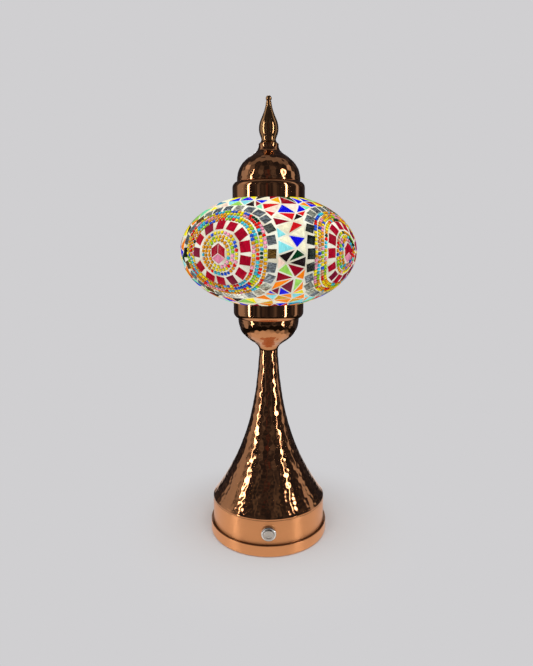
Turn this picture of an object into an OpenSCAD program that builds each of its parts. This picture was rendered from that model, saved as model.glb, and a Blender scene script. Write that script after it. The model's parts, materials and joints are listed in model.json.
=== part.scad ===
// Cordless mosaic glass table lamp: a hammered copper trumpet base with the battery inside it,
// an oblate glass globe set with mosaic, two identical spun caps and a turned finial.
// +Z is up, the origin is on the table at the middle of the foot, and -Y is the front.

/* [Base] */
// Diameter of the foot tray
foot_d = 117.4; // [114:0.2:124]
// Height of the foot tray's ledge above the table
foot_h = 11.7; // [10:0.1:13]
// Diameter of the smooth band
band_d = 112.2; // [108:0.2:112.4]
// Height of the top of the band above the table
band_top = 36; // [35:0.5:42]
// Thickness of spun and drawn sheet
sheet_t = 0.9; // [0.7:0.05:1.1]

/* [Stem] */
// Height of the hammered trumpet
stem_h = 150; // [130:1:200]
// Diameter of the trumpet's upper end
stem_top_d = 18; // [17.6:0.1:20]

/* [Caps] */
// Diameter of the ring of each spun cap
ring_d = 67.2; // [66.8:0.1:68]
// Height of each spun cap from its rim to the end of its neck
cap_h = 48; // [47:0.5:52]

/* [Globe] */
// Diameter of the globe over the mosaic
globe_d = 165.4; // [150:0.2:180]
// Height of the full ellipsoid that the globe is cut from
globe_h = 106; // [102:0.5:116]
// Thickness of the mosaic and its plaster bed
mosaic_t = 2.4; // [1.8:0.1:3]
// Thickness of the blown glass
glass_t = 2; // [1.6:0.1:2.4]
// Number of medallions round the globe
medallions = 4; // [3:1:4]
// Number of ruby tiles in one medallion's ring
ruby_count = 13; // [11:1:14]

/* [Finial] */
// Height of the finial
finial_h = 42.8; // [40:0.2:52]
// Largest diameter of the finial
finial_d = 17.8; // [16:0.1:20]

/* [Power] */
// Diameter of the push switch's bezel
bezel_d = 14.2; // [14:0.1:15]
// Diameter of the moving button
button_d = 10.4; // [9:0.1:11]
// How far the button travels
button_travel = 1.5; // [1:0.1:1.8]
// Diameter of a battery cell
cell_d = 18.4; // [18:0.1:18.6]

/* [Hidden] */
$fn = 64;

COPPER = "#b5713f";
DARK_COPPER = "#7a4a2c";
STEEL = "#b9bcc0";
BRASS = "#c9a24b";
BLACK = "#1d1d1f";

eps = 0.01;
gap = 0.3;                         // clearance between pieces that come apart
slip = 0.05;                       // radial clearance of a rod or thread in its hole
foot_r = foot_d / 2;
band_r = band_d / 2;
ring_r = ring_d / 2;
stem_top = band_top + stem_h;
neck_r = stem_top_d / 2 + 0.1;     // neck of each spun cap
cup_rim = stem_top + cap_h;        // rim of the lower cup
tile_t = 1.1;                      // mosaic tile, on top of the plaster bed
bed_a = globe_d / 2 - tile_t;
bed_b = globe_h / 2 - tile_t;
rim_half = gap + bed_b * sqrt(1 - pow((ring_r - sheet_t) / bed_a, 2)); // globe's middle to a rim
globe_z = cup_rim + rim_half;
cap_rim = globe_z + rim_half;
cap_top = cap_rim + cap_h;

// Base interior
tray_floor = 1.4;                  // underside of the tray's floor
tray_floor_t = 2;
tray_top = tray_floor + tray_floor_t;
bridge_t = 2;
bridge_z = band_top - sheet_t - bridge_t;
post_r = 49;
post_angles = [30, 150, 210, 330];
screw_r = 1.5;
rod_r = 5;                         // M10 x 1 lamp rod
rod_bore = 3.6;
nut_h = 4;
rod_bottom = bridge_z - nut_h - 2.5;
board_z = 18;
board_t = 1.6;
board_size = [40, 38];
board_y = 32;
board_holes = [[-16.5, 18], [16.5, 18], [-16.5, 45], [16.5, 45]];
wire_end = board_z + board_t + 0.25;
port_z = board_z + board_t + 1.65;
cell_len = 65;
cell_y = [-24.6, -5.2];
cell_z = tray_top + 1.6 + cell_d / 2;
switch_z = 23.5;
switch_r = 6;

// Lampholder and bulb heights, counted from the cup's rim
holder_z = cup_rim - 35;
flange_z = cup_rim - 19.5;
mouth_z = cup_rim + 16;
bulb_mid = globe_z - 2.5;
bulb_r = 22.5;

function lerp(a, b, t) = a + (b - a) * t;
function bezier(p, n) = [for (i = [0:n]) let (t = i / n, s = 1 - t)
    s * s * s * p[0] + 3 * s * s * t * p[1] + 3 * s * t * t * p[2] + t * t * t * p[3]];
function reversed(list) = [for (i = [len(list) - 1:-1:0]) list[i]];
function unit(v) = v / norm(v);

// The trumpet's radius at share u of its height, from the band to the neck
function stem_r(u) = stem_top_d / 2 + 11 * (1 - u)
    + (band_r - 0.1 - stem_top_d / 2 - 11) * pow(1 - u, 2.7);

// Outline of a spun cap, [radius, height above its rim], wall on the inside
function cap_outline(inset) = let (i = inset, r = ring_r - i, dome = 29.3 - i)
    concat(
        [[r, 0]],
        bezier([[r, 9.6], [r, 12.4 - i / 2], [r - 1.5, 14.5 - i], [dome, 15.6 - i]], 8),
        bezier([[dome, 16.3 - i / 2], [dome, 25], [26.2 - i, 31.5 - i / 2], [18.6 - i / 2, 37 - i]], 10),
        [for (k = [1:10]) bezier([[18.6 - i / 2, 37 - i], [14 - i / 2, 40.4 - i],
            [neck_r - i, cap_h - 5.5 - i], [neck_r - i, cap_h]], 10)[k]]);

// Half of an ellipsoid's outline, from height -zc to zc, [radius, height]
function ellipse_arc(a, b, zc, n) = let (s = asin(zc / b))
    [for (i = [0:n]) let (t = lerp(-s, s, i / n)) [a * cos(t), b * sin(t)]];

// A tube of round section swept along points, its rings square to the path
function path_dir(p, i) = unit(p[min(i + 1, len(p) - 1)] - p[max(i - 1, 0)]);
function smooth_path(p, n) = [for (i = [0:len(p) - 2]) let (
        a = p[max(i - 1, 0)], b = p[i], c = p[i + 1], d = p[min(i + 2, len(p) - 1)])
    for (k = [0:(i == len(p) - 2 ? n : n - 1)]) let (t = k / n)
        0.5 * (2 * b + (c - a) * t + (2 * a - 5 * b + 4 * c - d) * t * t
            + (3 * b - a - 3 * c + d) * t * t * t)];

module tube_along(points, r, sides = 8) {
    n = len(points);
    rings = [for (i = [0:n - 1]) let (d = path_dir(points, i),
            x = unit(cross(d, abs(d.x) < 0.9 ? [1, 0, 0] : [0, 1, 0])), y = cross(d, x))
        for (k = [0:sides - 1]) points[i] + r * (x * cos(360 * k / sides) + y * sin(360 * k / sides))];
    walls = [for (i = [0:n - 2]) for (k = [0:sides - 1]) let (m = (k + 1) % sides)
        [i * sides + k, (i + 1) * sides + k, (i + 1) * sides + m, i * sides + m]];
    ends = [[for (k = [0:sides - 1]) k], [for (k = [sides - 1:-1:0]) (n - 1) * sides + k]];
    polyhedron(rings, concat(walls, ends), convexity = 4);
}

module tube(r_out, r_in, z0, z1) {
    translate([0, 0, z0]) difference() {
        cylinder(r = r_out, h = z1 - z0);
        translate([0, 0, -1]) cylinder(r = r_in, h = z1 - z0 + 2);
    }
}

module ring_nut(z0, h, r = 7) {
    difference() {
        translate([0, 0, z0]) cylinder(r = r, h = h);
        translate([0, 0, z0 - 1]) cylinder(r = rod_r + slip, h = h + 2);
    }
}

// ---- Base ----

module foot_pad() color("#2c2a29") difference() {
    cylinder(r = foot_r - 5, h = tray_floor);
    for (a = post_angles) rotate(a) translate([post_r, 0, -1]) cylinder(r = 4.5, h = tray_floor + 2);
}

// Deep tray with a thick rolled rim; its ledge stands proud of the band
module foot_tray() color(COPPER) difference() {
    rotate_extrude($fn = 128) polygon(concat(
        [[0, tray_floor], [foot_r - 4.6, tray_floor], [foot_r - 4.4, 0.4]],
        [for (a = [-90:22.5:0]) [foot_r - 1.6 + 1.6 * cos(a), 2 + 1.6 * sin(a)]],
        [for (a = [0:30:90]) [foot_r - 0.5 + 0.5 * cos(a), foot_h - 0.5 + 0.5 * sin(a)]],
        [[band_r + 0.15, foot_h], [band_r + 0.15, tray_top], [0, tray_top]]));
    for (a = post_angles) rotate(a) translate([post_r, 0, 0]) cylinder(r = 1.7, h = tray_top + 1);
}

module tray_screws() color(STEEL) for (a = post_angles) rotate(a) translate([post_r, 0, 0])
    difference() {
        rotate_extrude() polygon([[0, 0.1], [2.8, 0.1], [2.8, tray_floor], [screw_r, tray_floor],
            [screw_r, tray_top + 7], [0, tray_top + 7]]);
        translate([0, 0, -0.5]) cylinder(r = 1.2, h = 1.3, $fn = 6);
    }

// Drawn drum, open below, with an inward flange on top that carries the trumpet
module base_band() color(COPPER) difference() {
    rotate_extrude($fn = 128) polygon([[band_r, tray_top], [band_r, band_top - 0.6],
        [band_r - 0.6, band_top], [band_r - 12, band_top], [band_r - 12, band_top - sheet_t],
        [band_r - sheet_t, band_top - sheet_t], [band_r - sheet_t, tray_top]]);
    translate([0, 0, switch_z]) rotate([90, 0, 0]) cylinder(r = switch_r + 0.1, h = band_r + 5);
    translate([0, band_r, port_z]) cube([10.4, 12, 4.8], center = true);
}

// Hammered trumpet with a narrow rim turned flat on the band
module hammered_stem() color(DARK_COPPER) rotate_extrude($fn = 128) {
    steps = 26;
    outer = [for (i = [0:steps]) let (u = i / steps) [stem_r(u), band_top + 1.1 + (stem_h - 1.1) * u]];
    inner = [for (i = [0:steps]) let (u = i / steps)
        [stem_r(u) - sheet_t * 1.1, band_top + eps + (stem_h - sheet_t - eps) * u]];
    polygon(concat([[stem_r(0), band_top + eps]], outer,
        [[rod_r + 0.2, stem_top], [rod_r + 0.2, stem_top - sheet_t]], reversed(inner)));
}

module bridge_plate() color(STEEL) translate([0, 0, bridge_z]) difference() {
    cylinder(r = band_r - 1.4, h = bridge_t - eps);
    translate([0, 0, -1]) cylinder(r = rod_r + slip, h = bridge_t + 2);
    for (a = [60:60:360]) rotate(a + 30) translate([24, 0, -1]) cylinder(r = 6, h = bridge_t + 2);
}

module bridge_posts() color(BRASS) for (a = post_angles) rotate(a) translate([post_r, 0, tray_top])
    difference() {
        cylinder(r = 3, h = bridge_z - tray_top);
        translate([0, 0, -1]) cylinder(r = screw_r + slip, h = 10);
    }

module rod_washer() color(STEEL) tube(11, rod_r + 0.2, bridge_z - 1.2, bridge_z);
module rod_nut_lower() color(STEEL) translate([0, 0, bridge_z - 1.2 - nut_h]) difference() {
    cylinder(r = 8.1, h = nut_h, $fn = 6);
    translate([0, 0, -1]) cylinder(r = rod_r + slip, h = nut_h + 2, $fn = 64);
}
module tie_rod() color(STEEL) tube(rod_r, rod_bore, rod_bottom, holder_z + 8);
module rod_nut_upper() color(STEEL) ring_nut(stem_top + sheet_t + eps, nut_h);

// ---- Battery and electronics ----

module battery_cells() color("#2f6fb3") for (y = cell_y) translate([-cell_len / 2, y, cell_z])
    rotate([0, 90, 0]) cylinder(r = cell_d / 2, h = cell_len);

module battery_cradle() color(BLACK) {
    mid = (cell_y[0] + cell_y[1]) / 2;
    span = cell_y[1] - cell_y[0] + cell_d + 1.4;
    difference() {
        translate([-cell_len / 2 - 3, mid - span / 2, tray_top])
            cube([cell_len + 6, span, cell_d * 0.62]);
        for (y = cell_y) translate([-cell_len / 2 - 1, y, cell_z])
            rotate([0, 90, 0]) cylinder(r = cell_d / 2 + 0.2, h = cell_len + 2);
        translate([-cell_len / 2 + 8, mid - 4, tray_top + 4]) cube([cell_len - 16, 8, cell_d]);
    }
}

module battery_contacts() color(STEEL) for (y = cell_y) for (s = [-1, 1])
    translate([s * (cell_len / 2 + 0.5), y, cell_z]) rotate([0, 90, 0])
        cylinder(r = 3.2, h = 0.8, center = true);

module battery_wires() for (s = [-1, 1]) color(s > 0 ? "red" : BLACK)
    tube_along(smooth_path([[s * 34.3, -5.2, 16.2], [s * 35.2, 1, 17.6], [s * 33, 11, 21],
        [s * 27, 22, 23.5], [s * 20.5, 28, 23], [s * 18, 30, 21.8], [s * 17.6, 30.4, wire_end]], 4), 0.8);

module control_board() color("#1f6b45") difference() {
    translate([-board_size.x / 2, board_y - board_size.y / 2, board_z])
        cube([board_size.x, board_size.y, board_t]);
    for (p = board_holes) translate([p.x, p.y, board_z - 1])
        cylinder(r = screw_r + 0.1, h = board_t + 2);
}

module board_spacers() color(BRASS) for (p = board_holes) translate([p.x, p.y, 0])
    tube(2.6, screw_r + slip, board_z + board_t, bridge_z);

module board_screws() color(STEEL) for (p = board_holes) translate([p.x, p.y, board_z - 2]) {
        cylinder(r = 2.7, h = 2);
        translate([0, 0, 1]) cylinder(r = screw_r, h = 8);
    }

module board_parts() color(BLACK) translate([0, board_y, board_z + board_t]) {
    translate([-9, -4, 0]) cube([6, 5, 1.6]);
    translate([3, -6, 0]) cube([7, 7, 3.2]);
    translate([-12, 5, 0]) cylinder(r = 2.5, h = 7);
    translate([9, 6, 0]) cylinder(r = 2, h = 5);
    translate([-3, 2, 0]) cube([4, 3, 1]);
}

module usb_socket() color(STEEL) translate([0, band_r - 9, port_z]) difference() {
    translate([-4.47, 0, -1.6]) cube([8.94, 7.9, 3.2]);
    translate([-4.15, 1.5, -1.28]) cube([8.3, 8, 2.56]);
}

module usb_bezel() color(BLACK) translate([0, band_r - 1.9, port_z]) difference() {
    translate([-5.1, -0.6, -2.3]) cube([10.2, 2.8, 4.6]);
    translate([-4.6, -1, -1.7]) cube([9.2, 5, 3.4]);
}

// ---- Push switch ----

module facing_front() translate([0, -band_r, switch_z]) rotate([90, 0, 0]) children();

module switch_barrel() color("#d9dadb") facing_front() rotate_extrude() polygon(concat(
    [[0, -20], [switch_r, -20], [switch_r, 0.3], [bezel_d / 2, 0.3], [bezel_d / 2, 1.2]],
    [for (a = [0:22.5:90]) [bezel_d / 2 - 1.2 + 1.2 * cos(a), 1.4 + 1.2 * sin(a)]],
    [[button_d / 2 + 0.3, 2.6], [button_d / 2 + 0.3, -6], [0, -6]]));

module switch_nut() color(STEEL) facing_front() translate([0, 0, -4.3]) difference() {
    cylinder(r = 8, h = 2.6, $fn = 6);
    translate([0, 0, -1]) cylinder(r = switch_r + slip, h = 5, $fn = 64);
}

module switch_gasket() color(BLACK) facing_front() tube(bezel_d / 2 - 0.6, switch_r + 0.1, 0.02, 0.28);

// Return spring in the blind bore behind the button, drawn at its pressed length as its tube
module switch_spring() color(STEEL) facing_front() tube(2.8, 2.1, -5.9, 0.9 - button_travel);

// Hollow button: its skirt goes over the spring, and its face is dished
module switch_button() color("#a9a6a3") facing_front() rotate_extrude() polygon([[3.6, -2],
    [button_d / 2, -2], [button_d / 2, 3.6], [button_d / 2 - 0.5, 4.1], [3.4, 4.1], [2.8, 3.85],
    [0, 3.75], [0, 1.6], [3.6, 1.6]]);

module switch_wires() for (s = [-1, 1]) color(s > 0 ? "red" : BLACK)
    tube_along(smooth_path([[s * 2.5, -band_r + 20.4, switch_z], [s * 2.5, -band_r + 21.2, switch_z],
        [s * 3, -band_r + 23, switch_z + 1.6],
        [s * 8, -20, 26.6], [s * 13.5, -2, 26], [s * 12.8, 10, 24.4],
        [s * 9.5, 15.5, 21.4], [s * 9.4, 15.6, wire_end]], 4), 0.7);

// ---- Spun caps ----

module spun_cap() color(DARK_COPPER) rotate_extrude($fn = 128) polygon(concat(
    cap_outline(0), [[rod_r + 0.2, cap_h], [rod_r + 0.2, cap_h - sheet_t]],
    [[neck_r - sheet_t, cap_h - sheet_t]],
    [for (p = reversed(cap_outline(sheet_t))) if (p.y < cap_h - sheet_t - eps) p]));

module lower_cup() translate([0, 0, cup_rim]) mirror([0, 0, 1]) spun_cap();
module upper_cap() translate([0, 0, cap_rim]) spun_cap();

// Spring steel spider: a hub and three arms that run up inside the glass neck and bulge against it
module spring_spider(hole_r, hub_r) {
    reach = 27.2;
    steel = 0.6;
    knuckle = glass_neck_r - glass_t - gap;
    arm = [[hole_r + 2, 0], [reach, 0], [reach, 7.5], [knuckle, 15], [reach - 0.3, 23.5]];
    difference() {
        union() {
            cylinder(r = hub_r, h = steel);
            for (a = [90:120:330]) rotate(a) translate([0, 3.5, 0]) rotate([90, 0, 0])
                linear_extrude(7) polygon(concat(arm, [for (p = reversed(arm)) p.y < eps
                    ? [p.x - (p.x > hub_r ? steel : 0), steel] : p - [steel, 0]]));
        }
        translate([0, 0, -1]) cylinder(r = hole_r, h = 4);
    }
}

// ---- Lampholder ----

module holder_base() color(BLACK) translate([0, 0, holder_z]) difference() {
    cylinder(r = 13.4, h = flange_z - holder_z - gap / 3);
    translate([0, 0, -1]) cylinder(r = rod_r + slip, h = 12);
    translate([0, 0, 9]) cylinder(r = 11.6, h = 20);
}

module holder_shell() color(BLACK) rotate_extrude() polygon(concat(
    [[10.2, flange_z], [16, flange_z], [16, flange_z + 1.6], [13.9, flange_z + 1.6]],
    [for (i = [0:7]) for (p = [[13.9, 2 + i * 1.6], [13.5, 2.8 + i * 1.6]]) p + [0, flange_z]],
    [[13.9, flange_z + 15.2], [13.9, mouth_z - 1], [12.9, mouth_z], [9, mouth_z], [8.7, mouth_z - 1],
     [8.7, mouth_z - 24], [10.2, mouth_z - 24]]));

module holder_core() color("#e8e2d6") difference() {
    translate([0, 0, holder_z + 9.5]) cylinder(r = 10, h = mouth_z - 24.4 - holder_z - 9.5);
    translate([0, 0, holder_z + 9]) cylinder(r = 2.2, h = 5);
}

// Threads are drawn as rings, so the bulb can turn in place
function thread_rings(r, depth, z0, count, pitch) = [for (i = [0:count - 1])
    for (a = [0:60:300]) [r - depth + depth * (1 - cos(a)) / 2, z0 + (i + a / 360) * pitch]];

module holder_sleeve() color(BRASS) rotate_extrude() polygon(concat(
    [[8.3, mouth_z - 24.39], [8.3, mouth_z - 2]], [[7.25, mouth_z - 2]],
    reversed(thread_rings(7.8, 0.55, mouth_z - 19.5, 6, 2.82)), [[7.25, mouth_z - 24.39]]));

module holder_contact() color(BRASS) {
    translate([-2, -5, mouth_z - 24.4]) cube([4, 10, 0.6]);
    translate([0, 0, mouth_z - 24]) cylinder(r = 1.6, h = 1.1);
}

module shade_ring() color(BLACK) rotate_extrude() polygon([[14.1, flange_z + 2.4],
    [19.5, flange_z + 2.4], [19.5, flange_z + 3.8], [17, flange_z + 4.4], [17, flange_z + 7.4],
    [14.1, flange_z + 7.4]]);

module lamp_wires() for (s = [-1, 1]) color(s > 0 ? "red" : BLACK)
    tube_along(concat(smooth_path([[s * 2.6, 16.7, wire_end], [s * 2.5, 16.5, 21], [s * 2, 12.8, 22.4],
        [s * 1.5, 7, 23.6], [s * 1.2, 2.2, 25], [s * 1.2, 0, 29]], 4),
        [[s * 1.2, 0, 60], [s * 1.2, 0, 120], [s * 1.2, 0, holder_z + 13]]), 0.8);

module globe_spring_clip() color(STEEL)
    translate([0, 0, flange_z + 1.65]) spring_spider(14.1, 18);

// ---- Globe ----

glass_a = globe_d / 2 - mosaic_t;
glass_b = globe_h / 2 - mosaic_t;
glass_neck_r = ring_r - sheet_t - 1.2;
neck_end = rim_half + 9.6;

module glass_globe() color("#dfe8e6", 0.5) translate([0, 0, globe_z]) rotate_extrude($fn = 128) {
    z_out = glass_b * sqrt(1 - pow(glass_neck_r / glass_a, 2));
    z_in = (glass_b - glass_t) * sqrt(1 - pow((glass_neck_r - glass_t) / (glass_a - glass_t), 2));
    polygon(concat([[glass_neck_r - glass_t, -neck_end], [glass_neck_r, -neck_end]],
        ellipse_arc(glass_a, glass_b, z_out, 30),
        [[glass_neck_r, neck_end], [glass_neck_r - glass_t, neck_end]],
        reversed(ellipse_arc(glass_a - glass_t, glass_b - glass_t, z_in, 30))));
}

// Plaster that the tiles are bedded in, run up to the neck on both sides
module plaster_bed() color("#efeadb") translate([0, 0, globe_z]) rotate_extrude($fn = 128) {
    r = glass_neck_r + 0.05;
    polygon(concat(ellipse_arc(bed_a, bed_b, bed_b * sqrt(1 - pow(r / bed_a, 2)), 32),
        reversed(ellipse_arc(glass_a + 0.05, glass_b + 0.05,
            (glass_b + 0.05) * sqrt(1 - pow(r / (glass_a + 0.05), 2)), 32))));
}

// A point of the bed at azimuth az from the front and at the ellipse's parameter t, and its tilt there
function bed_point(az, t) = [bed_a * cos(t) * sin(az), -bed_a * cos(t) * cos(az), bed_b * sin(t)];
function bed_tilt(t) = atan2(sin(t) / bed_b, cos(t) / bed_a);

module on_bed(az, t, spin = 0) translate([0, 0, globe_z]) translate(bed_point(az, t))
    rotate([0, 0, az]) rotate([90 - bed_tilt(t), 0, 0]) rotate(spin) translate([0, 0, 0.03]) children();

// Distance along a meridian from the equator to parameter t, and its inverse
function meridian(t, n = 12) = t == 0 ? 0 : let (h = t / n) PI / 180 * h * sum([for (i = [0:n - 1])
    norm([bed_a * sin((i + 0.5) * h), bed_b * cos((i + 0.5) * h)])]);
function sum(list) = list * [for (v = list) 1];
function parameter_at(s, lo = 0, hi = 80, k = 18) = k == 0 ? (lo + hi) / 2
    : let (mid = (lo + hi) / 2) meridian(mid) < s ? parameter_at(s, mid, hi, k - 1)
        : parameter_at(s, lo, mid, k - 1);

// A medallion is polar: a point at distance d and angle a from its middle, measured on the bed
first_medallion = -30.5;
set_close = 2.5;                   // laid by hand: the second medallion sits nearer the first
bead_r = 1.4;
bead_pitch = 3.2;
heart_beads = 8.6;                 // row of beads round each heart
ruby_ring = 23.5;
rim_beads = 30.3;                  // first row of beads outside the ruby ring
mirror_ring = 45.8;
mirror_count = 26;
function medallion_az(m) = first_medallion + m * 360 / medallions - (m == 1 ? set_close : 0);
function polar_t(d, a) = sign(sin(a)) * parameter_at(abs(d * sin(a)));
function polar_az(m, d, a) = medallion_az(m) + d * cos(a) / bed_a * 180 / PI / cos(polar_t(d, a));

module tile(points) linear_extrude(tile_t) polygon(points);

// A hexagon of three five-sided pieces in each medallion's middle
module ruby_hearts() color("#a3122f") for (m = [0:medallions - 1]) for (k = [0:2])
    on_bed(medallion_az(m), 0, 90 + 120 * k) tile([[0.6, 0], [3.3, 4.7], [6.3, 3.2], [6.3, -3.2],
        [3.3, -4.7]]);

module ruby_tiles() color("#b11232") for (m = [0:medallions - 1]) for (k = [0:ruby_count - 1]) {
    a = 360 * (k + 0.5) / ruby_count;
    on_bed(polar_az(m, ruby_ring, a), polar_t(ruby_ring, a), a)
        tile([[-4.3, -3.8], [4.3, -4.4], [4.3, 4.4], [-4.3, 3.8]]);
}

// Glass seed beads: the row round each heart and the first row outside the ruby ring
module seed_beads() color("#2fb6b0") for (m = [0:medallions - 1]) for (d = [heart_beads, rim_beads]) {
    count = floor(2 * PI * d / bead_pitch);
    for (k = [0:count - 1]) {
        a = 360 * k / count;
        on_bed(polar_az(m, d, a), polar_t(d, a)) translate([0, 0, bead_r]) sphere(r = bead_r, $fn = 16);
    }
}

// Mirror tiles ring each medallion
module mirror_tiles() color("#c8cdd2") for (m = [0:medallions - 1]) for (k = [0:mirror_count - 1]) {
    a = 360 * k / mirror_count;
    on_bed(polar_az(m, mirror_ring, a), polar_t(mirror_ring, a), a)
        tile([[-3.6, -4], [3.6, -4], [3.6, 4], [-3.6, 4]]);
}

// Triangles fill the rest, laid point up and point down in courses round the globe
course = 10.9;
triangle_pitch = 7.1;
field_reach = 56;                  // from a medallion's middle to the nearest triangle's
course_t = [for (i = [-6:6]) sign(i) * parameter_at(abs(i) * course)];
function from_medallion(p, m) = let (da = (p.x - medallion_az(m) + 540) % 360 - 180)
    norm([da * PI / 180 * bed_a * cos(p.y), meridian(p.y)]);
function clear_of_medallions(p) = min([for (m = [0:medallions - 1]) from_medallion(p, m)]) > field_reach;
GLASS_COLORS = ["#e2261c", "#f28c1a", "#f5e12a", "#1b2fd0", "#6fd3d6", "#f2e9c8", "#0c3b26", "#f3c9b5"];

module field_tiles() for (r = [0:len(course_t) - 1]) {
    t = course_t[r];
    count = 2 * floor(bed_a * cos(t) * PI / triangle_pitch);
    for (k = [0:count - 1]) {
        az = 360 * (k + 0.5) / count + first_medallion;
        if (clear_of_medallions([az, t])) color(GLASS_COLORS[(k * 5 + r * 3) % len(GLASS_COLORS)])
            on_bed(az, t, k % 2 == 0 ? 0 : 180) tile([[-5.6, -4.4], [5.6, -4.4], [0, 5.4]]);
    }
}

// ---- Bulb ----

dome_cut = bulb_mid - 16;
bulb_neck_r = sqrt(pow(bulb_r, 2) - pow(bulb_mid - dome_cut, 2));

module bulb_dome() color("#fbf8ef") difference() {
    translate([0, 0, bulb_mid]) sphere(r = bulb_r);
    translate([0, 0, bulb_mid]) sphere(r = bulb_r - 1.2);
    translate([0, 0, dome_cut - 40]) cylinder(r = 30, h = 40);
}

module bulb_body() color("#f2f2f0") rotate_extrude() polygon([[0, mouth_z + 0.6],
    [8.2, mouth_z + 0.6], [8.6, mouth_z + 2], [bulb_neck_r, dome_cut - gap],
    [bulb_neck_r - 1.6, dome_cut - gap], [bulb_neck_r - 1.6, dome_cut - 2.5], [0, dome_cut - 2.5]]);

module bulb_led_board() color("#f6f6f4") translate([0, 0, dome_cut - 2.4])
    cylinder(r = bulb_neck_r - 2, h = 1.4);

module bulb_leds() color("#f7e27a") for (a = [0:45:315]) rotate(a)
    translate([8, 0, dome_cut - 1]) translate([-1.4, -1.75, 0]) cube([2.8, 3.5, 0.8]);

module bulb_screw_shell() color("#cfcfcb") rotate_extrude() polygon(concat(
    [[5.4, mouth_z - 19.6], [6.1, mouth_z - 19]], thread_rings(6.95, 0.75, mouth_z - 18.6, 5, 2.82),
    [[6.4, mouth_z - 4], [6.4, mouth_z + 0.5], [5.4, mouth_z + 0.5]]));

module bulb_insulator() color(BLACK) translate([0, 0, mouth_z - 22]) cylinder(r1 = 2.8, r2 = 5.3, h = 2.3);
module bulb_contact() color("#cfcfcb") translate([0, 0, mouth_z - 22.7]) cylinder(r = 2.3, h = 0.7 - eps);

// ---- Upper cap and finial ----

clip_z = cap_rim + 17.85;          // as far from its rim as the lower clip
module cap_nipple() color(STEEL) tube(rod_r, rod_bore, clip_z - 6, cap_top + 10);
module cap_nut() color(STEEL) ring_nut(cap_top - sheet_t - 1.1 - nut_h, nut_h);
module cap_washer() color(STEEL) tube(7.6, rod_r + 0.2, cap_top - sheet_t - 1.05, cap_top - sheet_t - eps);
module clip_nuts() color(STEEL) {
    ring_nut(clip_z + eps, 3);
    ring_nut(clip_z - 0.6 - 3 - eps, 3);
}
module cap_spring_clip() color(STEEL) translate([0, 0, clip_z]) mirror([0, 0, 1])
    spring_spider(rod_r + 0.15, 10);

// Turned spindle with a flared foot, a bud and a small ball at the tip
module finial() color(COPPER) translate([0, 0, cap_top]) difference() {
    k = finial_h / 42.8;
    ball_r = 2.7;
    waist = 6.7;
    bud = finial_d / 2;
    rotate_extrude($fn = 96) polygon(concat([[0, eps], [neck_r, eps]],
        bezier([[neck_r + 0.1, 0.8], [8.4, 1.8], [waist, 2.6], [waist, 4.4 * k]], 8),
        bezier([[waist, 4.4 * k], [waist, 7.4 * k], [bud, 8.5 * k], [bud, 14.2 * k]], 8),
        bezier([[bud, 14.2 * k], [bud, 22.5 * k], [3.6, 26 * k], [2.4, finial_h - 5.2]], 14),
        [for (a = [-50:20:90]) [ball_r * cos(a), finial_h - ball_r + ball_r * sin(a)]]));
    translate([0, 0, -1]) cylinder(r = rod_r + slip, h = 13);
}

foot_pad();
foot_tray();
tray_screws();
base_band();
hammered_stem();
bridge_plate();
bridge_posts();
rod_washer();
rod_nut_lower();
tie_rod();
rod_nut_upper();
battery_cells();
battery_cradle();
battery_contacts();
battery_wires();
control_board();
board_spacers();
board_screws();
board_parts();
usb_socket();
usb_bezel();
switch_barrel();
switch_nut();
switch_gasket();
switch_spring();
switch_button();
switch_wires();
lower_cup();
holder_base();
holder_shell();
holder_core();
holder_sleeve();
holder_contact();
shade_ring();
lamp_wires();
globe_spring_clip();
glass_globe();
plaster_bed();
ruby_hearts();
ruby_tiles();
seed_beads();
mirror_tiles();
field_tiles();
bulb_dome();
bulb_body();
bulb_led_board();
bulb_leds();
bulb_screw_shell();
bulb_insulator();
bulb_contact();
upper_cap();
cap_nipple();
cap_nut();
cap_washer();
clip_nuts();
cap_spring_clip();
finial();
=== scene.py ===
# %% [markdown]
# # A mosaic glass table lamp, lit from inside
# A hammered copper trumpet stands on a satin foot and holds a blown glass globe set with cut glass,
# seed beads and mirror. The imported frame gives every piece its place. The plain pieces keep their
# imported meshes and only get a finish; what is hand made, such as hammered sheet and mosaic, is built
# here. Lengths are in metres, so a size in millimetres is written as a number times MM.

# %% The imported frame
import json
from math import ceil, cos, pi, radians, sin, sqrt

import bpy
import numpy as np
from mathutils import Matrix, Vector
from mathutils.geometry import delaunay_2d_cdt


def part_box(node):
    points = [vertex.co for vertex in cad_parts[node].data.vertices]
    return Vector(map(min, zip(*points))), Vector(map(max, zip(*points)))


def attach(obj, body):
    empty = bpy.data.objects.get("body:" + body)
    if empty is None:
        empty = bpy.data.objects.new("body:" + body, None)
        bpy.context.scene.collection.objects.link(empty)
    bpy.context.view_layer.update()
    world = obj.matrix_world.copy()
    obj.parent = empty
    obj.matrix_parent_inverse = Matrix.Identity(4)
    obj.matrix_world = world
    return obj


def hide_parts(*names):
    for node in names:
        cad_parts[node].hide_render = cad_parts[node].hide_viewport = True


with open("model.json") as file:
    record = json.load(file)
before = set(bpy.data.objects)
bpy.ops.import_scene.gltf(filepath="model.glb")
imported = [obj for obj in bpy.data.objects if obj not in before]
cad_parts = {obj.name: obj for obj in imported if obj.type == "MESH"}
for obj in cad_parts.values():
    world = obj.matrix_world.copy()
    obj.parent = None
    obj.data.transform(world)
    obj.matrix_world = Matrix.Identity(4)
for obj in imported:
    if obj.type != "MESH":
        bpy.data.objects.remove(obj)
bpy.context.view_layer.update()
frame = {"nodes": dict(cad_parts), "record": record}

MM = 0.001

# %% [markdown]
# ## Heights and radii
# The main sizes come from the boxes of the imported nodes. The lamp is round, so a node's half width is
# its radius, and the lowest and highest corners give its heights. The few that no box shows, such as
# the thickness of the sheet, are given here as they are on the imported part.

# %% Heights and radii


def low(node):
    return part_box(node)[0].z


def high(node):
    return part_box(node)[1].z


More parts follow.
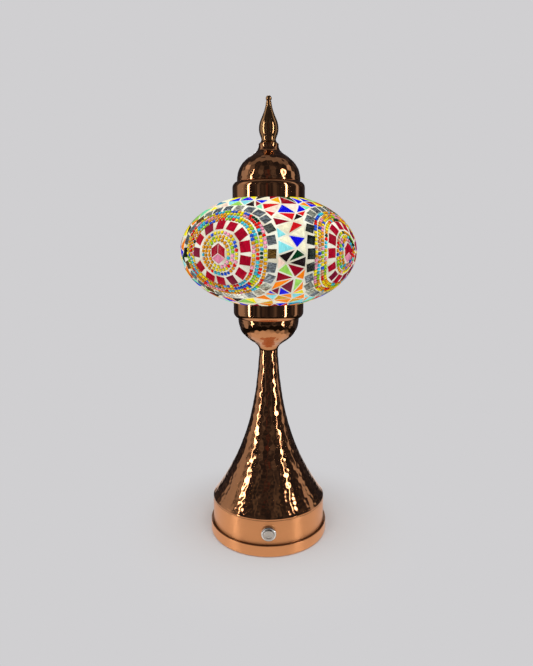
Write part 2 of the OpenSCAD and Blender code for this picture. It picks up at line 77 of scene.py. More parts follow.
def radius(node):
    lo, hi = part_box(node)
    return (hi.x - lo.x) / 2


STEM_LOW, STEM_TOP = low("hammered_stem"), high("hammered_stem")
STEM_R = radius("hammered_stem")
SHEET = 0.9 * MM
ROD_R = radius("tie_rod")
ROD_HOLE_R = ROD_R + 0.2 * MM
RING_R = radius("lower_cup")
CAP_H = high("lower_cup") - low("lower_cup")
CUP_RIM, CAP_RIM = high("lower_cup"), low("upper_cap")
NECK_R = 9.1 * MM
FINIAL_H = high("finial") - low("finial")
GLOBE_Z = (CUP_RIM + CAP_RIM) / 2
TILE = 1.1 * MM
BED_WIDE, BED_HIGH = 81.6, 51.9
BED_A = radius("plaster_bed")
BED_B = BED_A * BED_HIGH / BED_WIDE
print(f"stem from {STEM_LOW:.4f} to {STEM_TOP:.4f}, globe's middle at {GLOBE_Z:.4f}")
print(f"the plaster bed is a flattened ball, {BED_A:.4f} across its half width and {BED_B:.4f} up")

# %% [markdown]
# ## A way to write shaders as sums
# A material is a graph of nodes. Two small classes let it be written as Python expressions: a Reading
# wraps one output socket, so `1 - mask * 0.3` adds the Math nodes, and a Finish owns a material and
# makes any other node from its type, its settings and the values or readings that go into its sockets.

# %% Readings


class Reading:
    """A number or a colour on its way through a finish's nodes."""

    def __init__(self, finish, socket):
        self.finish = finish
        self.socket = socket

    def calc(self, operation, *values):
        return self.finish.node("ShaderNodeMath", {"operation": operation}, dict(enumerate(values)))

    def __add__(self, other):
        return self.calc("ADD", self, other)

    def __sub__(self, other):
        return self.calc("SUBTRACT", self, other)

    def __mul__(self, other):
        return self.calc("MULTIPLY", self, other)

    def __radd__(self, other):
        return self.calc("ADD", other, self)

    def __rsub__(self, other):
        return self.calc("SUBTRACT", other, self)

    def __rmul__(self, other):
        return self.calc("MULTIPLY", other, self)

    def __gt__(self, other):
        return self.calc("GREATER_THAN", self, other)

    def size(self):
        return self.calc("ABSOLUTE", self)

    def root(self):
        return self.calc("SQRT", self)

    def between(self, start, end):
        """0 at start, 1 at end, smooth in between."""
        settings = {"interpolation_type": "SMOOTHSTEP"}
        sockets = {"Value": self, "From Min": start, "From Max": end}
        return self.finish.node("ShaderNodeMapRange", settings, sockets)


# %% Finishes
# A Mix node has sockets for numbers, vectors and colours side by side. These are the colour ones.
MIX_A, MIX_B, MIX_RESULT = 6, 7, 2


class Finish:
    """A material, or the world, and the nodes that make it."""

    def __init__(self, name, owner=None):
        self.owner = owner or bpy.data.materials.new(name)
        self.owner.use_nodes = True
        self.tree = self.owner.node_tree
        self.tree.nodes.clear()

    def node(self, kind, settings=None, sockets=None, out=0):
        made = self.tree.nodes.new(kind)
        for name, value in (settings or {}).items():
            setattr(made, name, value)
        for name, value in (sockets or {}).items():
            if isinstance(value, Reading):
                self.tree.links.new(value.socket, made.inputs[name])
            else:
                made.inputs[name].default_value = value
        return Reading(self, made.outputs[out]) if len(made.outputs) else None

    def place(self):
        """Where a point is on the object, in metres."""
        return self.node("ShaderNodeTexCoord", out="Object")

    def axis(self, name, vector=None):
        return self.node("ShaderNodeSeparateXYZ", None, {"Vector": vector or self.place()}, name)

    def scaled(self, scale, vector=None):
        sockets = {"Vector": vector or self.place(), "Scale": scale}
        return self.node("ShaderNodeMapping", {"vector_type": "POINT"}, sockets)

    def noise(self, size, detail=3.0, vector=None, stretch=(1, 1, 1), roughness=0.5):
        """Cloudy noise from 0 to 1 with features of about this size in metres."""
        where = self.scaled([s / size for s in stretch], vector)
        sockets = {"Vector": where, "Scale": 1.0, "Detail": detail, "Roughness": roughness}
        return self.node("ShaderNodeTexNoise", None, sockets)

    def cells(self, size, feature="F1"):
        """A pattern of cells, as the distance to their middles or to their edges."""
        sockets = {"Vector": self.scaled([1 / size] * 3), "Scale": 1.0}
        return self.node("ShaderNodeTexVoronoi", {"feature": feature}, sockets)

    def mix(self, a, b, amount, how="MIX"):
        sockets = {0: amount, MIX_A: a, MIX_B: b}
        return self.node("ShaderNodeMix", {"data_type": "RGBA", "blend_type": how}, sockets, MIX_RESULT)

    def shade(self, colour, amount):
        """A colour made darker or lighter by a number."""
        grey = self.node("ShaderNodeCombineColor", None, dict.fromkeys(range(3), amount))
        return self.mix(colour, grey, 1.0, "MULTIPLY")

    def bump(self, height, depth, strength=1.0):
        sockets = {"Height": height, "Distance": depth, "Strength": strength}
        return self.node("ShaderNodeBump", None, sockets)

    def surface(self, **sockets):
        """The shader itself. Names of sockets are written with _ for a space."""
        named = {name.replace("_", " "): value for name, value in sockets.items()}
        self.end(self.node("ShaderNodeBsdfPrincipled", None, named))
        return self.owner

    def end(self, shader):
        kind = "World" if isinstance(self.owner, bpy.types.World) else "Material"
        self.node("ShaderNodeOutput" + kind, None, {"Surface": shader})


# %% [markdown]
# ## Colours
# Colours are easiest to name by the values from 0 to 255 that a screen shows, but a shader works with
# amounts of light. The usual screen curve turns one into the other: a short straight part for the
# darkest values and a power for the rest.

# %% Colours


def rgb(red, green, blue):
    """A colour from 0 to 255 screen values, as the light values that shaders use."""
    return tuple(((c / 255 + 0.055) / 1.055) ** 2.4 if c > 10 else c / 255 / 12.92
                 for c in (red, green, blue)) + (1.0,)


COPPER = rgb(212, 146, 100)
BRUSHED_COPPER = rgb(232, 158, 104)
BRONZE = rgb(196, 146, 98)
print("copper throws back", [round(part, 3) for part in COPPER[:3]], "of red, green and blue light")

# %% [markdown]
# ## The metal finishes
# The sheet is copper plated. Where it is polished it is nearly a mirror, so it shows the dark studio
# and the bright strips of light in it. The band and the foot are the same copper, brushed round and
# round to a satin, and the faces that look up, such as the ledge between them, get a painted shade.
# Fine scratches are a bump, because they are far thinner than any mesh. The hammer marks are not
# bumps: they are big enough to bend reflections, so they are in the mesh.

# %% Copper and bronze


def polished_copper(name, tint=COPPER, dull=0.07, specks=0.04):
    """Clean plating: nearly a mirror, a little cloudy, with fine specks where it has worn."""
    f = Finish(name)
    cloud = f.noise(18 * MM, 4)
    speck = f.noise(0.9 * MM, 2).between(0.62, 0.74)
    tone = f.shade(tint, 0.84 + cloud * 0.26 - speck * specks * 2)
    rough = dull + cloud * 0.05 + speck * specks
    scratch = f.noise(0.5 * MM, 2, stretch=(1, 1, 0.08))
    return f.surface(Base_Color=tone, Metallic=1.0, Roughness=rough,
                     Normal=f.bump(scratch, 0.006 * MM, specks * 8))


def satin_copper():
    """Brushed round and round, so its highlight spreads up and down; faces that look up get painted shade.
    """
    f = Finish("satin_copper")
    cloud = f.noise(25 * MM, 3)
    grain = f.noise(0.35 * MM, 3, stretch=(0.03, 0.03, 1.0))
    # Faces that look up, the ledge between band and foot above all, are darkened: a painted shade of the
    # gap.
    facing_up = f.axis("Z", f.node("ShaderNodeNewGeometry", out="Normal")).between(0.6, 0.95)
    painted_shade = 1 - facing_up * 0.8
    tone = f.shade(BRUSHED_COPPER, (0.96 + cloud * 0.14 + grain * 0.08) * painted_shade)
    return f.surface(Base_Color=tone, Metallic=0.8, Roughness=0.32 + cloud * 0.06, Anisotropic=0.9,
                     Anisotropic_Rotation=0.25, Normal=f.bump(grain, 0.02 * MM, 0.4))


FINISHES = {
    "hammered_copper": polished_copper("hammered_copper"),
    "spun_copper": polished_copper("spun_copper", dull=0.05),
    "satin_copper": satin_copper(),
    "bronze": polished_copper("bronze", tint=BRONZE, dull=0.13, specks=0.0),
}
print("made", ", ".join(FINISHES))

# %% [markdown]
# ## Steel, brass and nickel
# The screws, nuts, springs and contacts are bare or thinly plated. One recipe does for all of them: a
# colour, how dull it is, and a fine grain, which is stretched where the metal was drawn to wire. The
# button is brushed in circles, so its grain is a noise of the distance from its own middle.

# %% Bare metals
FINE_GRAIN = 0.6 * MM


def bare_metal(name, colour, rough, stretch=(1, 1, 1), depth=0.01 * MM):
    f = Finish(name)
    grain = f.noise(FINE_GRAIN, 3, stretch=stretch)
    cloud = f.noise(FINE_GRAIN * 9, 2)
    return f.surface(Base_Color=f.shade(colour, 0.82 + cloud * 0.3), Metallic=1.0,
                     Roughness=rough + grain * 0.12, Normal=f.bump(grain, depth, 0.5))


RINGS_PER_METRE = 6500.0


def spun_button():
    """Circular brushing round the button's own middle, on its front face."""
    f = Finish("button_steel")
    lo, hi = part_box("switch_button")
    across = f.axis("X") - (lo.x + hi.x) / 2
    up = f.axis("Z") - (lo.z + hi.z) / 2
    reach = (across * across + up * up).root()
    sockets = {"W": reach, "Scale": RINGS_PER_METRE}
    rings = f.node("ShaderNodeTexNoise", {"noise_dimensions": "1D"}, sockets)
    tone = f.shade(rgb(196, 188, 180), 0.8 + rings * 0.35)
    return f.surface(Base_Color=tone, Metallic=1.0, Roughness=0.3 + rings * 0.15,
                     Normal=f.bump(rings, 0.02 * MM, 0.6))


FINISHES.update({
    "zinc_steel": bare_metal("zinc_steel", rgb(196, 198, 200), 0.25),
    "spring_steel": bare_metal("spring_steel", rgb(150, 152, 156), 0.2, stretch=(1, 1, 0.1)),
    "brass": bare_metal("brass", rgb(214, 178, 104), 0.22),
    "contact_nickel": bare_metal("contact_nickel", rgb(208, 205, 198), 0.15),
    "switch_chrome": bare_metal("switch_chrome", rgb(226, 226, 224), 0.06, depth=0.003 * MM),
    "button_steel": spun_button(),
})
print(len(FINISHES), "metal finishes")

# %% [markdown]
# ## The finishes of the works inside
# Most of what makes the lamp work is hidden, and shows only when the globe is lifted off. Each part
# still gets its own finish: felt, sleeved cells, a green board, moulded plastic, blown and opal glass.

# %% Plastic, felt and wire
MOTTLE = 0.08


def plastic(name, colour, rough, coat=0.0):
    f = Finish(name)
    cloud = f.noise(6 * MM, 3)
    grain = f.noise(0.3 * MM, 2)
    return f.surface(Base_Color=f.shade(colour, 1 - MOTTLE + cloud * 2 * MOTTLE), Coat_Weight=coat,
                     Roughness=rough + cloud * 0.08, Normal=f.bump(grain, 0.015 * MM, 0.4))


def felt():
    f = Finish("felt")
    fibre = f.noise(0.6 * MM, 5, roughness=0.7)
    return f.surface(Base_Color=f.shade(rgb(58, 56, 58), 0.6 + fibre * 0.8), Roughness=0.95,
                     Sheen_Weight=0.3, Normal=f.bump(fibre, 0.15 * MM, 0.8))


def wire_insulation():
    """One wire of each pair is red, on the side of plus X, and the other is black."""
    f = Finish("wire_pvc")
    tone = f.mix(rgb(28, 28, 30), rgb(176, 20, 24), f.axis("X") > 0.0)
    return f.surface(Base_Color=f.shade(tone, 0.85 + f.noise(3 * MM) * 0.3), Roughness=0.35)


FINISHES.update({
    "black_plastic": plastic("black_plastic", rgb(30, 30, 32), 0.45),
    "chip_black": plastic("chip_black", rgb(34, 34, 36), 0.6),
    "gasket_rubber": plastic("gasket_rubber", rgb(28, 28, 28), 0.8),
    "steatite": plastic("steatite", rgb(226, 220, 206), 0.6),
    "bulb_plastic": plastic("bulb_plastic", rgb(240, 240, 238), 0.3),
    "black_insulator": plastic("black_insulator", rgb(24, 24, 26), 0.15, coat=0.5),
    "felt": felt(),
    "wire_pvc": wire_insulation(),
})
print(len(FINISHES), "finishes with the plastics, felt and wire")

# %% Board, cells and plain glass
SLEEVE_END = 28.5 * MM


def circuit_board():
    f = Finish("circuit_board")
    tracks = f.cells(2.4 * MM, feature="DISTANCE_TO_EDGE").between(0.06, 0.1)
    tone = f.mix(rgb(36, 118, 74), rgb(18, 84, 50), tracks)
    return f.surface(Base_Color=tone, Roughness=0.3, Normal=f.bump(tracks, 0.03 * MM, 0.5))


def cell_sleeve():
    f = Finish("cell_sleeve")
    bare_end = f.axis("X").size() > SLEEVE_END
    tone = f.mix(rgb(34, 92, 178), rgb(190, 190, 192), bare_end)
    return f.surface(Base_Color=f.shade(tone, 0.9 + f.noise(5 * MM) * 0.2), Roughness=0.28,
                     Coat_Weight=0.4)


def clear_glass():
    f = Finish("blown_glass")
    seed = f.noise(4 * MM, 3)
    return f.surface(Base_Color=rgb(238, 244, 241), Roughness=0.04 + seed * 0.05, IOR=1.5,
                     Transmission_Weight=0.85, Normal=f.bump(seed, 0.08 * MM, 0.4))


def opal(name, tint, glow, strength):
    f = Finish(name)
    cloud = f.noise(9 * MM, 2)
    return f.surface(Base_Color=f.shade(tint, 0.94 + cloud * 0.08), Roughness=0.3,
                     Emission_Color=f.shade(glow, 0.9 + cloud * 0.2), Emission_Strength=strength)


FINISHES.update({
    "circuit_board": circuit_board(),
    "cell_sleeve": cell_sleeve(),
    "blown_glass": clear_glass(),
    "bulb_opal": opal("bulb_opal", rgb(250, 246, 236), rgb(255, 232, 190), 0.7),
    "led_phosphor": opal("led_phosphor", rgb(240, 214, 120), rgb(255, 230, 160), 3.0),
})
print(len(FINISHES), "finishes with the board, the cells and the bulb")

# %% [markdown]
# ## Glass with light behind it
# Coloured glass in front of a bulb shows its own colour, brighter where it is thin. A refracting
# material would need many light paths through the globe's wall, so the tiles glow instead: the tint of
# each piece is stored on its mesh, streaks and seeds of hand-rolled glass vary it, and it feeds both the
# base colour and the glow. A thin clear coat on top gives the cut glass a little shine.

# %% Glass, beads, mirror and grout


def lit_glass(name, glow, streak_size, rough=0.3, streaks=0.2):
    """Glass lit from behind: reeds run down it, and seeds are the small bubbles in it."""
    f = Finish(name)
    tint = f.node("ShaderNodeAttribute", {"attribute_name": "tint"})
    reeds = f.noise(streak_size, 4, stretch=(1.0, 1.0, 0.35), roughness=0.6)
    seeds = f.cells(streak_size * 1.4).between(0.02, 0.16)
    light = (1 - streaks) + reeds.between(0.3, 0.7) * (2 * streaks) - (1 - seeds) * 0.12
    tone = f.shade(tint, light)
    return f.surface(Base_Color=f.shade(tone, 0.35), Roughness=rough, Emission_Color=tone,
                     Emission_Strength=glow, Specular_IOR_Level=0.12, Coat_Weight=0.03,
                     Coat_Roughness=0.1, Normal=f.bump(reeds, 0.08 * MM, 0.3))


def mirror_glass():
    """Each mirror has its own grey, and a share of it glows as the pale room that it throws back."""
    f = Finish("mirror_glass")
    tint = f.node("ShaderNodeAttribute", {"attribute_name": "tint"})
    # This noise is partly uneven silvering and partly painted streaks of reflection, since it also changes
    # the glow.
    foil_and_painted_streaks = f.noise(2.6 * MM, 4, roughness=0.6, stretch=(1.0, 1.0, 3.4))
    tone = f.shade(tint, 0.35 + foil_and_painted_streaks.between(0.40, 0.60) * 1.1)
    return f.surface(Base_Color=tone, Metallic=1.0, Roughness=0.16 + foil_and_painted_streaks * 0.16, Emission_Color=tone,
                     Emission_Strength=0.5, Normal=f.bump(foil_and_painted_streaks, 0.10 * MM, 0.4))


def lit_grout():
    # The plaster's glow is painted light, which keeps the grout pale between the lit glass.
    f = Finish("plaster")
    sand = f.noise(0.5 * MM, 4, roughness=0.65)
    cloud = f.noise(14 * MM, 3)
    clean = (cloud * 0.6 + sand * 0.4).between(0.3, 0.62)
    tone = f.mix(rgb(196, 188, 160), rgb(240, 238, 222), clean)
    return f.surface(Base_Color=f.shade(tone, 0.5), Roughness=0.8, Emission_Color=tone,
                     Emission_Strength=0.60, Normal=f.bump(sand, 0.12 * MM, 0.7))


FINISHES.update({
    "plaster": lit_grout(),
    "ruby_glass": lit_glass("ruby_glass", 0.74, 2.2 * MM, streaks=0.28),
    "bead_glass": lit_glass("bead_glass", 0.66, 1.2 * MM, rough=0.14),
    "field_glass": lit_glass("field_glass", 0.70, 2.6 * MM, streaks=0.16),
    "mirror_glass": mirror_glass(),
})
print(len(FINISHES), "finishes with the mosaic's")

# %% [markdown]
# ## A finish for every slot
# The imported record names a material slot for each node, and the finishes are kept under those names, so
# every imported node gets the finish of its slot.

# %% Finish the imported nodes
SLOTS = {s["node"]: s["material_slot"] for s in frame["record"]["subparts"]}
for name, thing in frame["nodes"].items():
    thing.data.materials.clear()
    thing.data.materials.append(FINISHES[SLOTS[name]])
print(len(FINISHES), "finishes on", len(SLOTS), "packed nodes")

# %% [markdown]
# ## Turned and spun shapes
# A spun cap, the trumpet and the finial are all an outline swept round the axis. The outline is a list
# of (radius, height) points that goes once round the metal's section, so the piece is a closed sheet
# with a real thickness. A smooth stretch is a Bezier curve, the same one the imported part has.

# %% A curve, and a piece of the scene


def bezier(p0, p1, p2, p3, steps):
    t = np.linspace(0, 1, steps + 1)[:, None]
    s = 1 - t
    p0, p1, p2, p3 = map(np.array, (p0, p1, p2, p3))
    return s**3 * p0 + 3 * s * s * t * p1 + 3 * s * t * t * p2 + t**3 * p3


def add_piece(name, verts, faces, body, slot, replaces=(), sharp=35, tints=None):
    """Makes a mesh object that rides on a body, wears a slot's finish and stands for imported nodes."""
    mesh = bpy.data.meshes.new(name)
    mesh.from_pydata(np.asarray(verts).tolist(), [], faces)
    mesh.polygons.foreach_set("use_smooth", [True] * len(mesh.polygons))
    mesh.set_sharp_from_angle(angle=radians(sharp))
    if tints is not None:
        layer = mesh.color_attributes.new("tint", "FLOAT_COLOR", "POINT")
        tints = np.hstack([tints, np.ones((len(tints), 1))])
        layer.data.foreach_set("color", tints.astype(np.float32).ravel())
    mesh.materials.append(FINISHES[slot])
    piece = bpy.data.objects.new(name, mesh)
    bpy.context.scene.collection.objects.link(piece)
    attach(piece, body)
    if replaces:
        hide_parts(*replaces)
    print(f"{name}: {len(mesh.vertices)} points, {len(mesh.polygons)} faces")


# %% Sweep and skin an outline


def spin(outline, turns):
    """Sweeps an outline of (radius, height) round the axis, as one ring for each of its points."""
    outline = np.asarray(outline, float)
    angle = np.linspace(0, 2 * pi, turns, endpoint=False)
    return np.stack([outline[:, None, 0] * np.cos(angle), outline[:, None, 0] * np.sin(angle),
                     np.repeat(outline[:, None, 1], turns, 1)], 2)


def join_rings(count, turns, closed=False):
    """Four-sided faces between rings whose points are numbered ring by ring."""
    row = np.arange(turns)
    nxt = (row + 1) % turns
    faces = []
    for i in range(count if closed else count - 1):
        a, b = i * turns, ((i + 1) % count) * turns
        faces += np.stack([a + row, a + nxt, b + nxt, b + row], 1).tolist()
    return faces


def skin(rings, closed=True):
    """Points and faces of swept rings. An open stack of rings ends on the axis, in fans."""
    count, turns = rings.shape[:2]
    verts, faces = rings.reshape(-1, 3), join_rings(count, turns, closed)
    if not closed:
        first, last = len(verts), len(verts) + 1
        verts = np.vstack([verts, [[0, 0, rings[0, 0, 2]], [0, 0, rings[-1, 0, 2]]]])
        base = (count - 1) * turns
        faces += [[first, (r + 1) % turns, r] for r in range(turns)]
        faces += [[last, base + r, base + (r + 1) % turns] for r in range(turns)]
    return verts, faces


# %% [markdown]
# ## Hammer marks
# A planishing hammer leaves shallow round dents that overlap like scales. Rows of dents are laid along
# the outline, each row with as many dents as fit round it and each dent nudged off its place. A dent
# lowers the sheet by a smooth bowl, so the normals change gradually and the reflections wobble, as they
# do in real hammered sheet. Only the points of the mesh near a dent have to be touched for it.

# %% Hammering
DENT_REACH = 0.78       # a dent's radius, in pitches
ROW_STEP = 0.86         # from one row of dents to the next, in pitches
HAMMER_FADE = 1.5 * MM  # the marks fade out over this length at both ends


def hammer(rings, first, last, pitch, depth, seed):
    """Dents the rings first to last square to the sheet, fading at both ends."""
    rng = np.random.RandomState(seed)
    turns = rings.shape[1]
    r = np.hypot(rings[:, 0, 0], rings[:, 0, 1])
    z = rings[:, 0, 2]
    along = np.concatenate([[0], np.cumsum(np.hypot(np.diff(r), np.diff(z)))])
    angle = np.linspace(0, 2 * pi, turns, endpoint=False)
    sink = np.zeros(rings.shape[:2])
    reach = pitch * DENT_REACH
    s = along[first]
    while s < along[last]:
        here = np.interp(s, along, r)
        count = max(6, int(round(2 * pi * here / pitch)))
        start = rng.rand() * 2 * pi
        for k in range(count):
            where = start + 2 * pi * (k + rng.uniform(-0.22, 0.22)) / count
            mid = s + rng.uniform(-0.25, 0.25) * pitch
            bowl = reach * rng.uniform(0.85, 1.2)
            rows = np.nonzero(np.abs(along - mid) < bowl)[0]
            rows = rows[(rows >= first) & (rows <= last)]
            if not len(rows):
                continue
            turn = (angle - where + pi) % (2 * pi) - pi
            cols = np.nonzero(np.abs(turn) * here < bowl)[0]
            d2 = ((along[rows, None] - mid) ** 2 + (turn[None, cols] * r[rows, None]) ** 2) / bowl**2
            cup = np.clip(1 - d2, 0, 1) ** 1.5 * rng.uniform(0.7, 1.15)
            patch = np.ix_(rows, cols)
            sink[patch] = np.maximum(sink[patch], cup)
        s += pitch * ROW_STEP
    fade = np.clip((along - along[first]) / HAMMER_FADE, 0, 1)
    fade = fade * np.clip((along[last] - along) / HAMMER_FADE, 0, 1)
    slope_r, slope_z = np.gradient(r), np.gradient(z)
    length = np.hypot(slope_r, slope_z) + 1e-9
    out_r, out_z = np.abs(slope_z) / length, -slope_r / length * np.sign(slope_z + 1e-12)
    drop = sink * depth * fade[:, None]
    rings[:, :, 0] -= drop * out_r[:, None] * np.cos(angle)
    rings[:, :, 1] -= drop * out_r[:, None] * np.sin(angle)
    rings[:, :, 2] -= drop * out_z[:, None]
    return rings


# %% [markdown]
# ## The trumpet
# The base's cone is one sheet drawn out from the band's edge to a thin neck. It sits on the band with a
# narrow straight rim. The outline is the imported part's own curve: a straight taper, and a flare that
# grows with a power of the distance from the neck. The outside has many more steps than the inside,
# because only the outside carries hammer marks.

# %% The hammered trumpet
TRUMPET_RIM = 1.1 * MM
NECK_END, TAPER = 9 * MM, 11 * MM
FLARE, FLARE_POWER = STEM_R - 20 * MM, 2.7
STEPS_UP, STEPS_ROUND = 260, 340
INNER_SKIP = 11


def trumpet_r(u):
    """Radius of the trumpet, with u from 0 at its rim to 1 at its neck."""
    return NECK_END + TAPER * (1 - u) + FLARE * (1 - u) ** FLARE_POWER


def trumpet():
    height = STEM_TOP - STEM_LOW - TRUMPET_RIM
    u = np.linspace(0, 1, STEPS_UP + 1)
    outer = np.stack([trumpet_r(u), STEM_LOW + TRUMPET_RIM + height * u], 1)
    u = u[::-INNER_SKIP]
    inner = np.stack([trumpet_r(u) - SHEET, STEM_LOW + (height + TRUMPET_RIM - SHEET) * u], 1)
    crown = [[ROD_HOLE_R, STEM_TOP], [ROD_HOLE_R, STEM_TOP - SHEET]]
    outline = np.vstack([[[STEM_R, STEM_LOW]], outer, crown, inner])
    rings = hammer(spin(outline, STEPS_ROUND), 2, STEPS_UP, 5.4 * MM, 0.30 * MM, seed=4)
    add_piece("trumpet", *skin(rings), "base", "hammered_copper", ["hammered_stem"])


trumpet()

# %% [markdown]
# ## The spun cup and cap
# Both caps come off the same chuck: a plain rolled ring, a crisp step, a dome with light hammer marks,
# and a neck. The lower one is turned over. Only the dome is hammered; the ring is left smooth. The inside
# of the wall is the same outline, drawn in by the thickness of the sheet.

# %% The two spun caps
DOME_R = 29.3 * MM
RING_TURN, RING_TOP = 9.6 * MM, 15.6 * MM
DOME_LOW = 16.3 * MM
SHOULDER_R, SHOULDER_Z = 18.6 * MM, 37 * MM


def cap_outline(inset, dense):
    """The wall from rim to neck as (radius, height above the rim), its dome's first point and its end."""
    i, r, dome = inset, RING_R - inset, DOME_R - inset
    shoulder = [SHOULDER_R - i / 2, SHOULDER_Z - i]
    ring = bezier([r, RING_TURN], [r, 12.4 * MM - i / 2], [r - 1.5 * MM, 14.5 * MM - i],
                  [dome, RING_TOP - i], dense // 2)
    bowl = bezier([dome, DOME_LOW - i / 2], [dome, 25 * MM], [26.2 * MM - i, 31.5 * MM - i / 2],
                  shoulder, dense)
    neck = bezier(shoulder, [14 * MM - i / 2, 40.4 * MM - i], [NECK_R - i, CAP_H - 5.5 * MM - i],
                  [NECK_R - i, CAP_H - (SHEET if inset else 0)], dense // 2)[1:]
    return np.vstack([[[r, 0.0]], ring, bowl, neck]), len(ring) + 1, len(ring) + len(bowl) + len(neck)


def spun_cap(name, body, rim, way, node, seed):
    outer, dome_start, end = cap_outline(0.0, 110)
    inner, _, _ = cap_outline(SHEET, 24)
    crown = [[NECK_R, CAP_H], [ROD_HOLE_R, CAP_H], [ROD_HOLE_R, CAP_H - SHEET]]
    outline = np.vstack([outer[:-1], crown, inner[::-1]])
    rings = hammer(spin(outline, 320), dome_start + 2, end - 16, 5.0 * MM, 0.24 * MM, seed)
    rings[:, :, 2] = rim + way * rings[:, :, 2]
    verts, faces = skin(rings)
    if way < 0:
        faces = [f[::-1] for f in faces]
    add_piece(name, verts, faces, body, "spun_copper", [node])


spun_cap("lower_spun_cup", "base", CUP_RIM, -1, "lower_cup", seed=11)
spun_cap("upper_spun_cap", "cap", CAP_RIM, 1, "upper_cap", seed=12)

# %% [markdown]
# ## The finial
# The finial is turned from solid bar: a flared foot, a bud, a long taper and a small ball. It screws
# onto the nipple that stands out of the cap, so its bore stays open. Its curves are drawn for a finial
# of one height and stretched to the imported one's.

# %% The finial
BALL_R = 2.7 * MM
BUD_R = 8.9 * MM
WAIST_R = 6.7 * MM
TIP_R = 2.4 * MM
DRAWN_HEIGHT = 42.8 * MM
BORE_R, BORE_DEPTH = ROD_R + 0.05 * MM, 11.9 * MM


def finial():
    k = FINIAL_H / DRAWN_HEIGHT
    waist, bud_top = [WAIST_R, 4.4 * k * MM], [BUD_R, 14.2 * k * MM]
    foot = bezier([NECK_R + 0.1 * MM, 0.8 * MM], [8.4 * MM, 1.8 * MM], [WAIST_R, 2.6 * MM], waist, 16)
    bud = bezier(waist, [WAIST_R, 7.4 * k * MM], [BUD_R, 8.5 * k * MM], bud_top, 24)[1:]
    taper = bezier(bud_top, [BUD_R, 22.5 * k * MM], [3.6 * MM, 26 * k * MM],
                   [TIP_R, FINIAL_H - 5.2 * MM], 40)[1:]
    swing = np.radians(np.linspace(-50, 86, 20))
    ball = np.stack([BALL_R * np.cos(swing), FINIAL_H - BALL_R + BALL_R * np.sin(swing)], 1)
    bore = [[BORE_R, BORE_DEPTH], [BORE_R, 0.05 * MM], [NECK_R - 0.2 * MM, 0.05 * MM],
            [NECK_R + 0.1 * MM, 0.3 * MM]]
    outline = np.vstack([bore, foot, bud, taper, ball])
    outline[:, 1] += low("finial")
    add_piece("finial_turning", *skin(spin(outline, 144), closed=False), "cap", "bronze", ["finial"])


finial()

# %% [markdown]
# ## The globe's surface as a map
# The mosaic lies on a flattened ball, so its pieces are laid out on a map: azimuth from the front, and
# arc length from the equator along a meridian. A table made once turns arc length into the ellipse's
# parameter, and another into a height on a map that keeps the angles of small shapes. A point on the map
# is lifted off the plaster bed along the surface's own normal.

# %% From map to globe
TURN = np.linspace(-1.25, 1.25, 2001)
STEP = TURN[1] - TURN[0]
SPEED = np.hypot(BED_A * np.sin(TURN), BED_B * np.cos(TURN))
ARC = np.cumsum(SPEED) * STEP
ARC -= np.interp(0.0, TURN, ARC)
CONFORMAL = np.cumsum(SPEED / (BED_A * np.cos(TURN))) * STEP
CONFORMAL -= np.interp(0.0, TURN, CONFORMAL)


def arc_at(reach):
    """Arc length from the equator to where the bed has this radius."""
    return float(np.interp(np.arccos(reach / BED_A), TURN, ARC))


def girth(s):
    """Radius of the bed's parallel at arc length s."""
    return BED_A * np.cos(np.interp(s, ARC, TURN))


def on_globe(azimuth, s, lift=0.0):
    """The place in the scene of a point on the map, lifted off the bed."""
    t = np.interp(s, ARC, TURN)
    azimuth, lift = np.broadcast_arrays(np.asarray(azimuth, float), lift)
    normal = np.stack([np.cos(t) * np.sin(azimuth) / BED_A, -np.cos(t) * np.cos(azimuth) / BED_A,
                       np.sin(t) / BED_B + 0 * azimuth], -1)
    normal /= np.linalg.norm(normal, axis=-1, keepdims=True)
    base = np.stack([BED_A * np.cos(t) * np.sin(azimuth), -BED_A * np.cos(t) * np.cos(azimuth),
                     BED_B * np.sin(t) + 0 * azimuth], -1)
    return base + normal * lift[..., None] + np.array([0, 0, GLOBE_Z])


RIM_ARC = arc_at(RING_R)
print(f"from the equator to a rim is {RIM_ARC / MM:.1f} mm along the bed")

# %% [markdown]
# ## Medallions
# Four medallions sit round the equator. From the middle out, each has a hexagon of three pieces, three
# rows of seed beads, a ring of ruby squares, four more rows of beads and a ring of mirror squares. A
# place in a medallion is polar: a distance and an angle from its middle, turned into a place on the map.
# The inner rows are a little taller than wide, because they follow the hexagon.

# %% Where a medallion's pieces go
MEDALLIONS = [radians(a) for a in (-30.5, 57.0, 149.5, 239.5)]
RUBY_RING = 24.6 * MM
RUBIES = 13
MIRROR_RING = 45.8 * MM
MIRRORS = 26
INNER_ROWS = [9.6 * MM, 13.3 * MM, 17.1 * MM]
INNER_STRETCH = [1.6 * MM, 1.0 * MM, 0.5 * MM]
OUTER_ROWS = [31.2 * MM, 34.4 * MM, 37.6 * MM, 40.7 * MM]


def polar(medallion, distance, angle):
    """The place on the map at a distance and an angle from a medallion's middle."""
    s = distance * sin(angle)
    return medallion + distance * cos(angle) / float(girth(s)), s


def from_medallions(azimuth, s):
    """Distance on the map to the nearest medallion's middle."""
    far = [np.hypot(((azimuth - m + pi) % (2 * pi) - pi) * girth(s), s) for m in MEDALLIONS]
    return np.min(far, axis=0)


print("a medallion's outer edge is", round((MIRROR_RING + 4 * MM) / MM, 1), "mm from its middle")

# %% [markdown]
# ## Grout
# The grout fills the gaps almost to the tiles' tops. It is one turned shell: an ellipse a little above
# the bed on the outside, that sinks back to the bed at both rims so that the caps can sit on it. Between
# the beads it is wiped lower, so the beads stand out of it.

# %% Grout
TOP_LIFT = TILE - 0.1 * MM
GROUT_LIFT = TOP_LIFT - 0.4 * MM
BEAD_GROUT = -0.3 * MM
GROUT_BACK = -1.1 * MM
GROUT_ROUND, GROUT_UP, BACK_SKIP = 420, 171, 10


def ramp(value, start, end):
    """0 at start, 1 at end, smooth in between, for arrays."""
    x = np.clip((value - start) / (end - start), 0, 1)
    return x * x * (3 - 2 * x)


